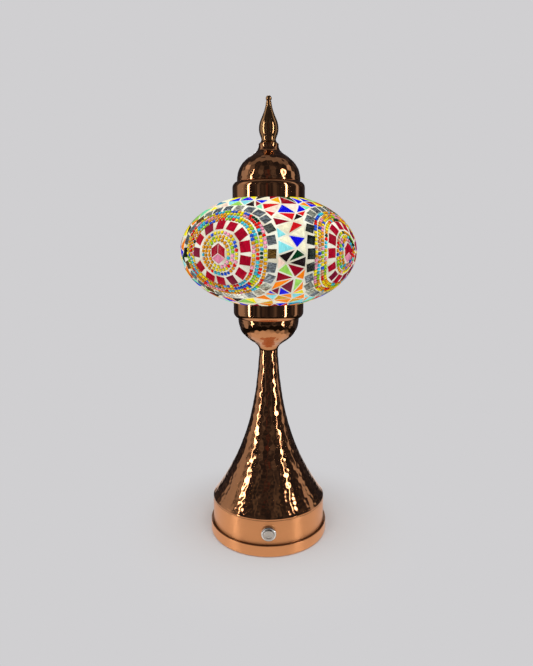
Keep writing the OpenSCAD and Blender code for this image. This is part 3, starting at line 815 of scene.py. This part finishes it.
def grout():
    limit = arc_at(RING_R - SHEET - 0.6 * MM)
    azimuth = np.linspace(0, 2 * pi, GROUT_ROUND, endpoint=False)
    s = np.linspace(limit, -limit, GROUT_UP)[:, None]
    away = from_medallions(azimuth[None], s)
    beads = np.zeros_like(away)
    for rows in (INNER_ROWS, OUTER_ROWS):
        inside = ramp(away, rows[0] - 2.6 * MM, rows[0] - 1.2 * MM)
        beads = np.maximum(beads, inside * ramp(away, rows[-1] + 2.6 * MM, rows[-1] + 1.2 * MM))
    lift = GROUT_LIFT + (BEAD_GROUT - GROUT_LIFT) * beads
    outer = on_globe(azimuth[None], s, lift * ramp(RIM_ARC - np.abs(s), 0.4 * MM, 2.4 * MM))
    back = s[::-BACK_SKIP]
    inner = on_globe(azimuth[None], back, np.full((len(back), GROUT_ROUND), GROUT_BACK))
    verts, faces = skin(np.concatenate([outer, inner]))
    add_piece("grout", verts, [f[::-1] for f in faces], "globe", "plaster", ["plaster_bed"])


grout()

# %% [markdown]
# ## One tile
# A tile is a small slab with an eased edge. Its outline is given in metres round its own middle, as if
# on flat card, and is laid on the map, so a slab follows the globe. Each slab is tilted a hair, since no
# hand lays them true, which is what makes real mosaic glitter. All tiles of one glass share one mesh,
# and each carries its own tint.

# %% A tray of small solids


class Tray:
    """Collects small solids of one kind, with a tint for each, and makes one piece of them."""

    def __init__(self):
        self.verts, self.faces, self.tints = [], [], []
        self.count = 0

    def add(self, verts, faces, tint, light=None):
        """A solid of one tint, which can be made darker point by point."""
        start = len(self.verts)
        self.verts += np.asarray(verts).tolist()
        self.faces += [[start + i for i in f] for f in faces]
        light = np.ones(len(verts)) if light is None else light
        self.tints += (light[:, None] * [tint[:3]]).tolist()
        self.count += 1

    def piece(self, name, slot, replaces, sharp=40):
        print(f"{name} holds {self.count} solids")
        add_piece(name, self.verts, self.faces, "globe", slot, replaces, sharp, self.tints)


# %% Lay one tile
FOOT_LIFT = 0.12 * MM
LEAN = 0.014
MOST_RISE = 0.08 * MM
SIDE_STEP = 3 * MM
FACE_LIFT = TOP_LIFT - 0.04 * MM


def lay_tile(tray, azimuth, s, outline, tint, rng, turn=0.0, edge=0.35 * MM):
    """Lays a tile at (azimuth, s). Its outline is in metres, counter-clockwise, turned by an angle."""
    c, d = cos(turn), sin(turn)
    outline = np.asarray(outline, float) @ np.array([[c, d], [-d, c]])
    ring = []
    for a, b in zip(outline, np.roll(outline, -1, 0)):
        parts = max(1, ceil(np.linalg.norm(b - a) / SIDE_STEP))
        ring += [a + (b - a) * k / parts for k in range(parts)]
    ring = np.array(ring)
    mid = ring.mean(0)
    size = np.linalg.norm(ring - mid, axis=1).mean()
    tilt = rng.normal(0, LEAN, 2)

    def level(scale, lift, lean=1.0):
        flat = mid + (ring - mid) * scale
        up = np.maximum(lift + lean * np.minimum((flat - mid) @ tilt, MOST_RISE), FOOT_LIFT)
        return on_globe(azimuth + flat[:, 0] / girth(s + flat[:, 1]), s + flat[:, 1], up)

    eased = 1 - 0.5 * edge / size
    rings = [level(1.0, FOOT_LIFT, 0), level(1.0, TOP_LIFT - edge), level(eased, TOP_LIFT - 0.3 * edge),
             level(1 - edge / size, TOP_LIFT - 0.05 * MM), level(0.5, FACE_LIFT)]
    here = azimuth + mid[0] / girth(s + mid[1]), s + mid[1]
    ends = [on_globe(*here, FACE_LIFT), on_globe(*here, FOOT_LIFT)]
    n, total = len(ring), len(rings) * len(ring)
    faces = join_rings(len(rings), n)
    faces += [[total - n + i, total - n + (i + 1) % n, total] for i in range(n)]
    faces += [[(i + 1) % n, i, total + 1] for i in range(n)]
    tray.add(np.vstack(rings + ends), faces, tint)


def tinted(colour, rng, spread=0.12):
    """A glass colour with this piece's own lightness."""
    light = 1 + rng.uniform(-spread, spread)
    return [min(1.0, c * light) for c in colour[:3]] + [1.0]


# %% [markdown]
# ## Hearts, rubies and mirrors
# The middle of a medallion is a hexagon in three pieces, two of ruby and one of pink glass. The rubies
# and mirrors are hand-snapped squares, so each has its own size and skew.

# %% Shapes and colours of a medallion's tiles
CRIMSON = rgb(158, 2, 34)
WINE = rgb(122, 16, 46)
ROSE = rgb(206, 122, 150)


def heart_outlines(tall=8.4 * MM, wide=6.5 * MM, shoulder=3.9 * MM, gap=0.25 * MM):
    left = [[-gap, gap], [-gap, tall - gap], [-wide, shoulder], [-wide, -shoulder + 2 * gap]]
    right = [[-x, y] for x, y in left[::-1]]
    corner = -shoulder - 0.5 * gap
    below = [[0, -gap], [-wide + gap, corner], [0, -tall], [wide - gap, corner]]
    return [(left, CRIMSON), (right, CRIMSON), (below, ROSE)]


# Each mirror's grey is a painted reflection of the studio, from the dark room to the pale one.
MIRROR_GREYS = [rgb(*grey) for grey in ((26, 30, 28), (66, 68, 64), (108, 112, 104), (130, 137, 142),
                                        (158, 163, 148), (205, 203, 190))]
# Now and then a mirror shows a brown painted reflection instead of a grey one.
BROWN_MIRROR = rgb(122, 92, 46)


def mirror_grey(angle, rng):
    """Painted reflection: dark room near the equator, pale room above and below it, at times brown."""
    bright = min(len(MIRROR_GREYS) - 1, int(abs(sin(angle)) * 3.4 + rng.uniform(0, 2.4)))
    return BROWN_MIRROR if rng.rand() < 0.06 else MIRROR_GREYS[bright]


def square(w, h, skew, lean):
    """A hand-snapped square of about this half width and half height."""
    return [[-w, -h + skew], [w, -h + lean], [w, h - skew], [-w, h]]


print(len(heart_outlines()), "pieces in a heart,", len(MIRROR_GREYS), "greys of mirror")

# %% Lay the hearts, rubies and mirrors


def medallion_glass():
    rng = np.random.RandomState(7)
    rubies, mirrors, hearts = Tray(), Tray(), Tray()
    for medallion in MEDALLIONS:
        for outline, colour in heart_outlines():
            lay_tile(hearts, medallion, 0.0, outline, tinted(colour, rng), rng, edge=0.25 * MM)
        for k in range(RUBIES):
            a = 2 * pi * (k + 0.5 + rng.uniform(-0.06, 0.06)) / RUBIES
            shape = square(*rng.uniform([4.0, 3.8], [4.6, 4.4]) * MM, *rng.uniform(-0.8, 0.8, 2) * MM)
            tint = tinted(WINE if rng.rand() < 0.25 else CRIMSON, rng)
            turn = a + rng.uniform(-0.12, 0.12)
            lay_tile(rubies, *polar(medallion, RUBY_RING, a), shape, tint, rng, turn)
        for k in range(MIRRORS):
            a = 2 * pi * k / MIRRORS
            shape = square(*rng.uniform([3.4, 3.7], [3.8, 4.3]) * MM, *rng.uniform(-0.5, 0.5, 2) * MM)
            tint = tinted(mirror_grey(a, rng), rng)
            turn = a + rng.uniform(-0.06, 0.06)
            lay_tile(mirrors, *polar(medallion, MIRROR_RING, a), shape, tint, rng, turn, edge=0.2 * MM)
    hearts.piece("medallion_hearts", "ruby_glass", ["ruby_hearts"])
    rubies.piece("ruby_squares", "ruby_glass", ["ruby_tiles"])
    mirrors.piece("mirror_squares", "mirror_glass", ["mirror_tiles"])


medallion_glass()

# %% [markdown]
# ## Seed beads
# A seed bead is a short length of glass tube with melted ends. The beads are laid in rows with their
# holes along the row, half sunk in the grout, in little runs of one colour because they come off a
# string. Light shines through a bead's crown and hardly through its flanks, so each bead is darker at
# its sides and ends.

# %% Seed beads
BEAD_R = 1.68 * MM
BEAD_SIDES = 10
BEAD_SQUASH = 0.72
BEAD_HALF = [(-0.70, 0.34), (-0.82, 0.60), (-0.64, 0.90)]
BEAD_ENDS = BEAD_HALF + [(0.0, 1.0)] + [(-x, r) for x, r in BEAD_HALF[::-1]]


def bead_shape():
    """A bead of radius 1 lying along X, as rings from one end to the other, a little flattened in Z."""
    angle = np.linspace(0, 2 * pi, BEAD_SIDES, endpoint=False)
    rings = np.array([[[x, r * cos(a), r * sin(a) * BEAD_SQUASH] for a in angle] for x, r in BEAD_ENDS])
    verts = np.vstack([rings.reshape(-1, 3), [[-0.5, 0, 0], [0.5, 0, 0]]])
    n, total = BEAD_SIDES, len(verts) - 2
    faces = join_rings(len(BEAD_ENDS), n)
    faces += [[total, (i + 1) % n, i] for i in range(n)]
    faces += [[total + 1, total - n + i, total - n + (i + 1) % n] for i in range(n)]
    return verts, [f[::-1] for f in faces]


print("a bead has", len(bead_shape()[0]), "points and", len(bead_shape()[1]), "faces")

# %% String the beads
BEAD_COLOURS = {
    "amber": (rgb(226, 150, 16), 27), "yellow": (rgb(238, 214, 22), 22),
    "turquoise": (rgb(60, 188, 212), 11), "red": (rgb(230, 26, 18), 13),
    "pink": (rgb(240, 150, 176), 7), "lime": (rgb(146, 200, 28), 8), "blue": (rgb(32, 80, 202), 8),
    "bottle green": (rgb(4, 58, 34), 2), "salmon": (rgb(212, 146, 110), 2),
}
RUNS = [1, 1, 1, 2, 2, 3]
BEAD_PITCH = 3.3 * MM
BEAD_SIT = TOP_LIFT + 0.04 * MM - BEAD_R * BEAD_SQUASH


def bead_frame(medallion, away, angle, twist):
    """Where a bead sits, and its three directions: along the row, across it and off the globe."""
    here, above = (on_globe(*polar(medallion, away, angle), lift) for lift in (BEAD_SIT, BEAD_SIT + MM))
    ahead = on_globe(*polar(medallion, away, angle + 0.02), BEAD_SIT) - here
    up = (above - here) / np.linalg.norm(above - here)
    ahead -= up * ahead.dot(up)
    ahead /= np.linalg.norm(ahead)
    along = ahead * cos(twist) + np.cross(up, ahead) * sin(twist)
    return here, np.array([along, np.cross(up, along), up])


def seed_beads():
    rng = np.random.RandomState(21)
    tray = Tray()
    shape, faces = bead_shape()
    crown, middle = ramp(shape[:, 2], 0.16, 0.68), ramp(0.86 - np.abs(shape[:, 0]), -0.1, 0.34)
    light = 0.24 + 0.92 * crown * middle
    names = list(BEAD_COLOURS)
    odds = np.array([BEAD_COLOURS[n][1] for n in names]) / sum(c[1] for c in BEAD_COLOURS.values())
    for medallion in MEDALLIONS:
        for row, stretch in zip(INNER_ROWS + OUTER_ROWS, INNER_STRETCH + [0.0] * len(OUTER_ROWS)):
            count = int(2 * pi * (row + stretch / 2) / BEAD_PITCH)
            start = rng.rand() * 2 * pi
            colours = []
            while len(colours) < count:
                colours += [rng.choice(names, p=odds)] * rng.choice(RUNS)
            for k in range(count):
                angle = start + 2 * pi * k / count
                away = row + stretch * sin(angle) ** 2
                away += (0.3 * sin(2 * angle + row / MM) + rng.uniform(-0.15, 0.15)) * MM
                here, axes = bead_frame(medallion, away, angle, rng.normal(0, 0.2))
                size = BEAD_R * rng.uniform(0.86, 1.02)
                tint = tinted(BEAD_COLOURS[colours[k]][0], rng, 0.2)
                tray.add(here + (shape * size) @ axes, faces, tint, light)
    tray.piece("bead_rows", "bead_glass", ["seed_beads"], sharp=60)


seed_beads()

# %% [markdown]
# ## The field of cut glass
# Between the medallions the glass is cut into odd triangles and four-sided pieces that fit together. To
# get pieces that fit, corners are placed first, and joined by a Delaunay triangulation, which avoids thin
# slivers. It is made on the map that keeps angles. Corners stand round each medallion, along both rims
# and in rows down the panel that faces the front, and the rest are scattered with a least distance
# between them.

# %% Place the corners of the field
MEDALLION_EDGE = 50.3 * MM
FIELD_EDGE = RIM_ARC - 0.6 * MM
RIM_CORNERS = 24
CUT = 11.5 * MM
LEAST_APART = CUT * 0.86
LEAST_CLEAR = 6.5 * MM
TRIES = 6000
PANEL_MIDDLE = (MEDALLIONS[0] + MEDALLIONS[1]) / 2
# The front panel's corners, in millimetres: how far up from the equator, and how far across from the middle
PANEL_ROWS = [(51, [-17, -2, 13]), (39, [-8, 8]), (27, [2]), (15, [-4]), (4, [4]), (-8, [-4]),
              (-19, [4]), (-29, [-7]), (-39, [5, -15]), (-50, [-9, 9, 21])]


def field_corners():
    rng = np.random.RandomState(33)
    corners = []
    for medallion in MEDALLIONS:
        for k in range(MIRRORS):
            angle = 2 * pi * (k + rng.uniform(-0.15, 0.15)) / MIRRORS
            corners.append(polar(medallion, MEDALLION_EDGE, angle))
    for side in (-1, 1):
        for k in range(RIM_CORNERS):
            azimuth = 2 * pi * (k + rng.uniform(-0.2, 0.2)) / RIM_CORNERS - pi
            corners.append((azimuth, side * FIELD_EDGE))
    for height, across in PANEL_ROWS:
        for x in across:
            s = (height + rng.uniform(-2, 2)) * MM
            corners.append((PANEL_MIDDLE + (x + rng.uniform(-1.2, 1.2)) * MM / girth(s), s))
    placed = np.array([on_globe(*c) for c in corners])
    for _ in range(TRIES):
        azimuth, s = rng.uniform(-pi, pi), rng.uniform(-FIELD_EDGE, FIELD_EDGE)
        clear = min(float(from_medallions(azimuth, s)) - MEDALLION_EDGE, FIELD_EDGE - abs(s))
        here = on_globe(azimuth, s)
        if clear > LEAST_CLEAR and np.linalg.norm(placed - here, axis=1).min() > LEAST_APART:
            corners.append((azimuth, s))
            placed = np.vstack([placed, here])
    print(len(corners), "corners in the field")
    return corners


CORNERS = field_corners()

# %% Join the corners into triangles


def field_triangles(corners):
    """Triangles as three corner numbers with their places, once each, outside the medallions."""
    count = len(corners)
    # The map wraps round, so a copy of the corners is put on either side, and only its middle is kept.
    wide = [(a + shift, s) for shift in (0, -2 * pi, 2 * pi) for a, s in corners]
    flat = [Vector((a, float(np.interp(np.interp(s, ARC, TURN), TURN, CONFORMAL)))) for a, s in wide]
    _, _, faces, origins, _, _ = delaunay_2d_cdt(flat, [], [], 0, 1e-7)
    made = []
    for face in faces:
        numbers = [origins[i][0] for i in face]
        places = [wide[i] for i in numbers]
        a, s = np.mean(places, 0)
        if -pi <= a < pi and from_medallions(a, s) > MEDALLION_EDGE * 0.985:
            made.append([(i % count, p) for i, p in zip(numbers, places)])
    return made


TRIANGLES = field_triangles(CORNERS)
print(len(TRIANGLES), "triangles")

# %% [markdown]
# ## Triangles and four-sided pieces
# A cutter also makes four-sided pieces, so some pairs of neighbouring triangles are joined into one. That
# is done only where the result has no hollow corner and isn't larger than the glass pieces really are.

# %% Join some pairs
LARGEST = 105 * MM * MM
PAIRED = 0.45


def area(outline):
    """Area of an outline, below zero if it runs clockwise."""
    x, y = np.array(outline).T
    return float(np.dot(x, np.roll(y, -1)) - np.dot(y, np.roll(x, -1))) / 2


def convex(places):
    p = np.array(places) * [BED_A, 1]
    e = np.roll(p, -1, 0) - p
    f = np.roll(e, -1, 0)
    turn = e[:, 0] * f[:, 1] - e[:, 1] * f[:, 0]
    return turn.min() > 0.12 * np.abs(turn).max()


def join_pairs(triangles, share, rng):
    """Joins some neighbouring triangles into four-sided pieces, where that gives a sound shape."""
    edges = {}
    for t, triangle in enumerate(triangles):
        for k in range(3):
            edges.setdefault(frozenset((triangle[k][0], triangle[(k + 1) % 3][0])), []).append((t, k))
    used, pieces = set(), []
    pairs = [sides for sides in edges.values() if len(sides) == 2]
    for n in rng.permutation(len(pairs)):
        (t, k), (u, m) = pairs[n]
        if t in used or u in used or rng.rand() > share:
            continue
        one, two = triangles[t], triangles[u]
        shift = round((one[k][1][0] - two[(m + 1) % 3][1][0]) / (2 * pi)) * 2 * pi
        far = two[(m + 2) % 3]
        quad = [one[k], (far[0], (far[1][0] + shift, far[1][1])), one[(k + 1) % 3], one[(k + 2) % 3]]
        places = [place for _, place in quad]
        if convex(places) and abs(area(places)) * BED_A < LARGEST:
            used.update((t, u))
            pieces.append(quad)
    return pieces + [triangle for t, triangle in enumerate(triangles) if t not in used]


# %% [markdown]
# ## Colours of the field
# The panel that faces the front has a colour for each place, from the top row to the bottom one and from
# left to right. The other three panels are laid at will, by how common each glass is. No two neighbours
# get one colour.

# %% Colours of the field
GLASS = {
    "crimson": (rgb(140, 0, 28), 14), "red": (rgb(204, 8, 20), 9), "orange": (rgb(255, 134, 4), 13),
    "yellow": (rgb(250, 232, 18), 9), "blue": (rgb(8, 8, 216), 12), "aqua": (rgb(138, 228, 234), 9),
    "mint": (rgb(122, 226, 172), 3), "peach": (rgb(250, 216, 196), 9), "cream": (rgb(236, 230, 198), 11),
    "black": (rgb(30, 18, 20), 5), "forest": (rgb(0, 60, 28), 4), "lime": (rgb(152, 212, 92), 4),
    "maroon": (rgb(124, 22, 50), 5), "gold": (rgb(222, 164, 20), 3), "teal": (rgb(20, 140, 170), 2),
}
# The front panel's colours from left to right, at each height above the equator in millimetres
FRONT = [
    (66, "blue yellow black cream crimson crimson gold forest orange yellow crimson blue"),
    (55, "lime aqua black crimson blue cream crimson peach orange blue crimson yellow"),
    (44, "mint red peach blue"), (34, "red red cream black"), (24, "crimson red cream"),
    (14, "aqua blue cream"), (5, "aqua blue cream"), (-4, "peach forest black"),
    (-14, "orange crimson lime"), (-24, "orange crimson lime"), (-34, "yellow blue maroon orange"),
    (-46, "orange gold orange aqua"),
    (-58, "lime yellow cream orange cream orange gold orange aqua red"),
    (-67, "blue crimson cream orange crimson blue red orange teal yellow"),
]
PANEL_HALF = 62 * MM


def panel_colours(azimuth, s):
    """The colours wanted at a place in the front panel, best first, or none elsewhere."""
    away = (azimuth - PANEL_MIDDLE + pi) % (2 * pi) - pi
    if abs(away) > pi / 4:
        return []
    height, names = min(FRONT, key=lambda row: abs(row[0] * MM - s))
    names = names.split()
    middle = abs(height) < 50
    reach = (PANEL_HALF - sqrt(max(MEDALLION_EDGE**2 - s**2, 0))) / BED_A if middle else pi / 4
    place = min(len(names) - 1, max(0, int((away / reach + 1) / 2 * len(names))))
    return names[place:] + names[:place]


print("the front panel's middle wants", panel_colours(PANEL_MIDDLE, 0.0)[0], "glass")

# %% Cut and lay the field
HALF_JOINT = 0.55 * MM
SMALLEST = 7 * MM * MM


def cut_back(outline, rng):
    """Moves each side of a counter-clockwise outline in by about half a joint."""
    p = np.array(outline)
    e = np.roll(p, -1, 0) - p
    length = np.linalg.norm(e, axis=1, keepdims=True)
    inward = np.stack([-e[:, 1], e[:, 0]], 1) / length
    q = p + inward * HALF_JOINT * rng.uniform(0.8, 1.6, (len(p), 1))
    corners = []
    for i in range(len(p)):
        h = i - 1
        cross = e[h, 0] * e[i, 1] - e[h, 1] * e[i, 0]
        along = ((q[i] - q[h])[0] * e[i, 1] - (q[i] - q[h])[1] * e[i, 0]) / cross
        corners.append(q[h] + e[h] * along)
    return np.array(corners)


def field():
    rng = np.random.RandomState(45)
    tray = Tray()
    colour_at = {}
    names = list(GLASS)
    odds = np.array([GLASS[n][1] for n in names]) / sum(c[1] for c in GLASS.values())
    for piece in join_pairs(TRIANGLES, PAIRED, rng):
        places = np.array([p for _, p in piece])
        a, s = places.mean(0)
        outline = np.stack([(places[:, 0] - a) * girth(places[:, 1]), places[:, 1] - s], 1)
        numbers = [i for i, _ in piece]
        sides = [frozenset(pair) for pair in zip(numbers, numbers[1:] + numbers[:1])]
        near = {colour_at.get(side) for side in sides}
        wanted = panel_colours(a, s) + list(rng.choice(names, 40, p=odds))
        name = next(c for c in wanted if c not in near)
        colour_at.update((side, name) for side in sides)
        cut = cut_back(outline if area(outline) > 0 else outline[::-1], rng)
        if area(cut) > SMALLEST:
            lay_tile(tray, a, s, cut, tinted(GLASS[name][0], rng), rng)
    tray.piece("field_glass", "field_glass", ["field_tiles"])


field()

# %% [markdown]
# ## The studio
# The lamp stands in a dark studio with a pale backdrop. What the camera sees behind the lamp is an even
# pale grey, but what the copper reflects is mostly dark, with two tall bright strips in front, dim walls
# and posts at the sides, and a soft light above. A world shader can give each kind of ray its own
# answer, so three are mixed with the Light Path node: one for the camera, one for reflections, one for
# soft light. Each tall shape is a band between two directions round from the front, in degrees.

# %% The studio's world
BACKDROP = rgb(208, 207, 209)
STRIPS = [(-69, -63.5), (54.5, 59.5)]
DIM_SHAPES = [(-116, -84, 5, 0.42), (95, 107, 1.5, 0.5), (-36, -28, 2, 0.09), (14, 26, 3, 0.05),
              (-84, -73, 2, 0.13)]  # from, to, blur and brightness
STRIP_LIGHT, BACK_LIGHT, TOP_LIGHT, SOFT_LIGHT = 9.0, 3.0, 0.2, 0.55
DARK_ROOM, ROOM_CLUTTER = (0.022, 0.024, 0.034, 1.0), (0.085, 0.083, 0.09, 1.0)


def band(value, start, end, blur):
    """1 between two ends and 0 outside, with soft edges."""
    return value.between(start - blur, start + blur) * (1 - value.between(end - blur, end + blur))


def reflected_room(f):
    """What a mirror would show of the studio, by direction."""
    way = f.node("ShaderNodeTexCoord")
    x, y, z = (f.axis(name, way) for name in "XYZ")
    azimuth = x.calc("ARCTAN2", x, -1 * y) * (180 / pi)
    rise = z.calc("ARCSINE", z) * (180 / pi)
    strips = sum(band(azimuth, start, end, 0.5) for start, end in STRIPS) * band(rise, -24, 35, 2)
    behind = azimuth.size().between(174, 176) * band(rise, -14, 60, 3)
    dim = sum(band(azimuth, start, end, blur) * light for start, end, blur, light in DIM_SHAPES)
    overhead = band(y, -0.06, 0.30, 0.02) * z.between(0.45, 0.55)
    glint = band(azimuth, -8, -3, 2) * band(rise, -4, 34, 4)
    white = f.node("ShaderNodeCombineColor", None, {0: 0.96, 1: 0.98, 2: 1.0})
    plain = strips * STRIP_LIGHT + behind * BACK_LIGHT + dim * band(rise, -30, 44, 5)
    plain = plain + overhead * TOP_LIGHT
    room = f.mix(DARK_ROOM, ROOM_CLUTTER, f.noise(0.16, 3, way).between(0.42, 0.72))
    return f.mix(f.mix(room, f.shade(white, plain), 1.0, "ADD"), rgb(176, 92, 62), glint * 0.16)


def studio():
    world = bpy.data.worlds.new("studio")
    bpy.context.scene.world = world
    world.cycles.sampling_method = "NONE"
    f = Finish("studio", owner=world)
    seen, mirrored, soft = (f.node("ShaderNodeBackground", None, {"Color": colour, "Strength": strength})
                            for colour, strength in ((BACKDROP, 1.0), (reflected_room(f), 1.0),
                                                     ((1.0, 0.99, 0.98, 1.0), SOFT_LIGHT)))
    to_camera = f.node("ShaderNodeLightPath", out="Is Camera Ray")
    in_mirror = f.node("ShaderNodeLightPath", out="Is Glossy Ray")
    unseen = f.node("ShaderNodeMixShader", None, {0: in_mirror, 1: soft, 2: mirrored})
    f.end(f.node("ShaderNodeMixShader", None, {0: to_camera, 1: unseen, 2: seen}))
    print("the world has", len(world.node_tree.nodes), "nodes")


studio()

# %% [markdown]
# ## Floor, light and camera
# The floor is a pale disc that fades into the backdrop, so no horizon shows. Close to the lamp it takes
# light and a soft contact shadow. The copper needs a bright table top under it in its reflections, so a
# second disc, which only mirrors see, lies just below the floor. One big area light hangs above and a
# little in front.

# %% Floor
SIDES = 96
DISC_RINGS = (0.1, 0.3, 0.6, 1.0)


def stage_disc(name, reach, height, inner, outer, close_look, far_look):
    """A disc on the ground whose look turns from one to the other between two radii."""
    rings = spin([[share * reach, height] for share in DISC_RINGS], SIDES)
    faces = [list(range(SIDES))] + [f[::-1] for f in join_rings(len(DISC_RINGS), SIDES)]
    mesh = bpy.data.meshes.new(name)
    mesh.from_pydata(rings.reshape(-1, 3).tolist(), [], faces)
    disc = bpy.data.objects.new(name, mesh)
    bpy.context.scene.collection.objects.link(disc)
    f = Finish(name + "_paint")
    x, y = f.axis("X"), f.axis("Y")
    fade = (x * x + y * y).root().between(inner, outer)
    close, far = (f.node(kind, None, sockets) for kind, sockets in (close_look, far_look))
    f.end(f.node("ShaderNodeMixShader", None, {0: fade, 1: close, 2: far}))
    mesh.materials.append(f.owner)
    return disc


def glow(*colour):
    return "ShaderNodeEmission", {"Color": colour}


LIT = "ShaderNodeBsdfDiffuse", {"Color": BACKDROP, "Roughness": 1.0}
ground = stage_disc("floor", 0.9, 0.0, 0.055, 0.16, LIT, glow(*BACKDROP))
ground.visible_glossy = False
table = stage_disc("table", 0.5, -0.5 * MM, 0.17, 0.30, glow(0.80, 0.77, 0.74, 1.0),
                   glow(0.01, 0.01, 0.01, 1.0))
table.visible_camera = table.visible_diffuse = table.visible_shadow = False
for disc in (ground, table):
    print("the", disc.name, "is", round(disc.dimensions.x, 2), "metres across")


# %% Light and camera


def softbox(place, aim, size, watts):
    light = bpy.data.lights.new("softbox", "AREA")
    light.shape = "DISK"
    light.size = size
    light.energy = watts
    light.color = (1.0, 0.98, 0.95)
    box = bpy.data.objects.new("softbox", light)
    box.location = place
    box.rotation_euler = (Vector(aim) - Vector(place)).to_track_quat("-Z", "Y").to_euler()
    box.visible_glossy = False
    bpy.context.scene.collection.objects.link(box)


softbox((0.0, -0.35, 1.25), (0, 0, 0.15), size=1.1, watts=11.5)

camera_data = bpy.data.cameras.new("camera")
camera_data.lens = 28.6
camera_data.sensor_width = 36
camera_data.clip_start = 0.01
camera = bpy.data.objects.new("camera", camera_data)
camera.location = (-0.0020, -0.507, 0.296)
camera.rotation_euler = (radians(79.6), 0, 0)
bpy.context.scene.collection.objects.link(camera)
bpy.context.scene.camera = camera
bpy.context.scene.view_settings.view_transform = "Standard"
print("the camera stands", round(-camera.location.y, 3), "m in front of the lamp's axis")
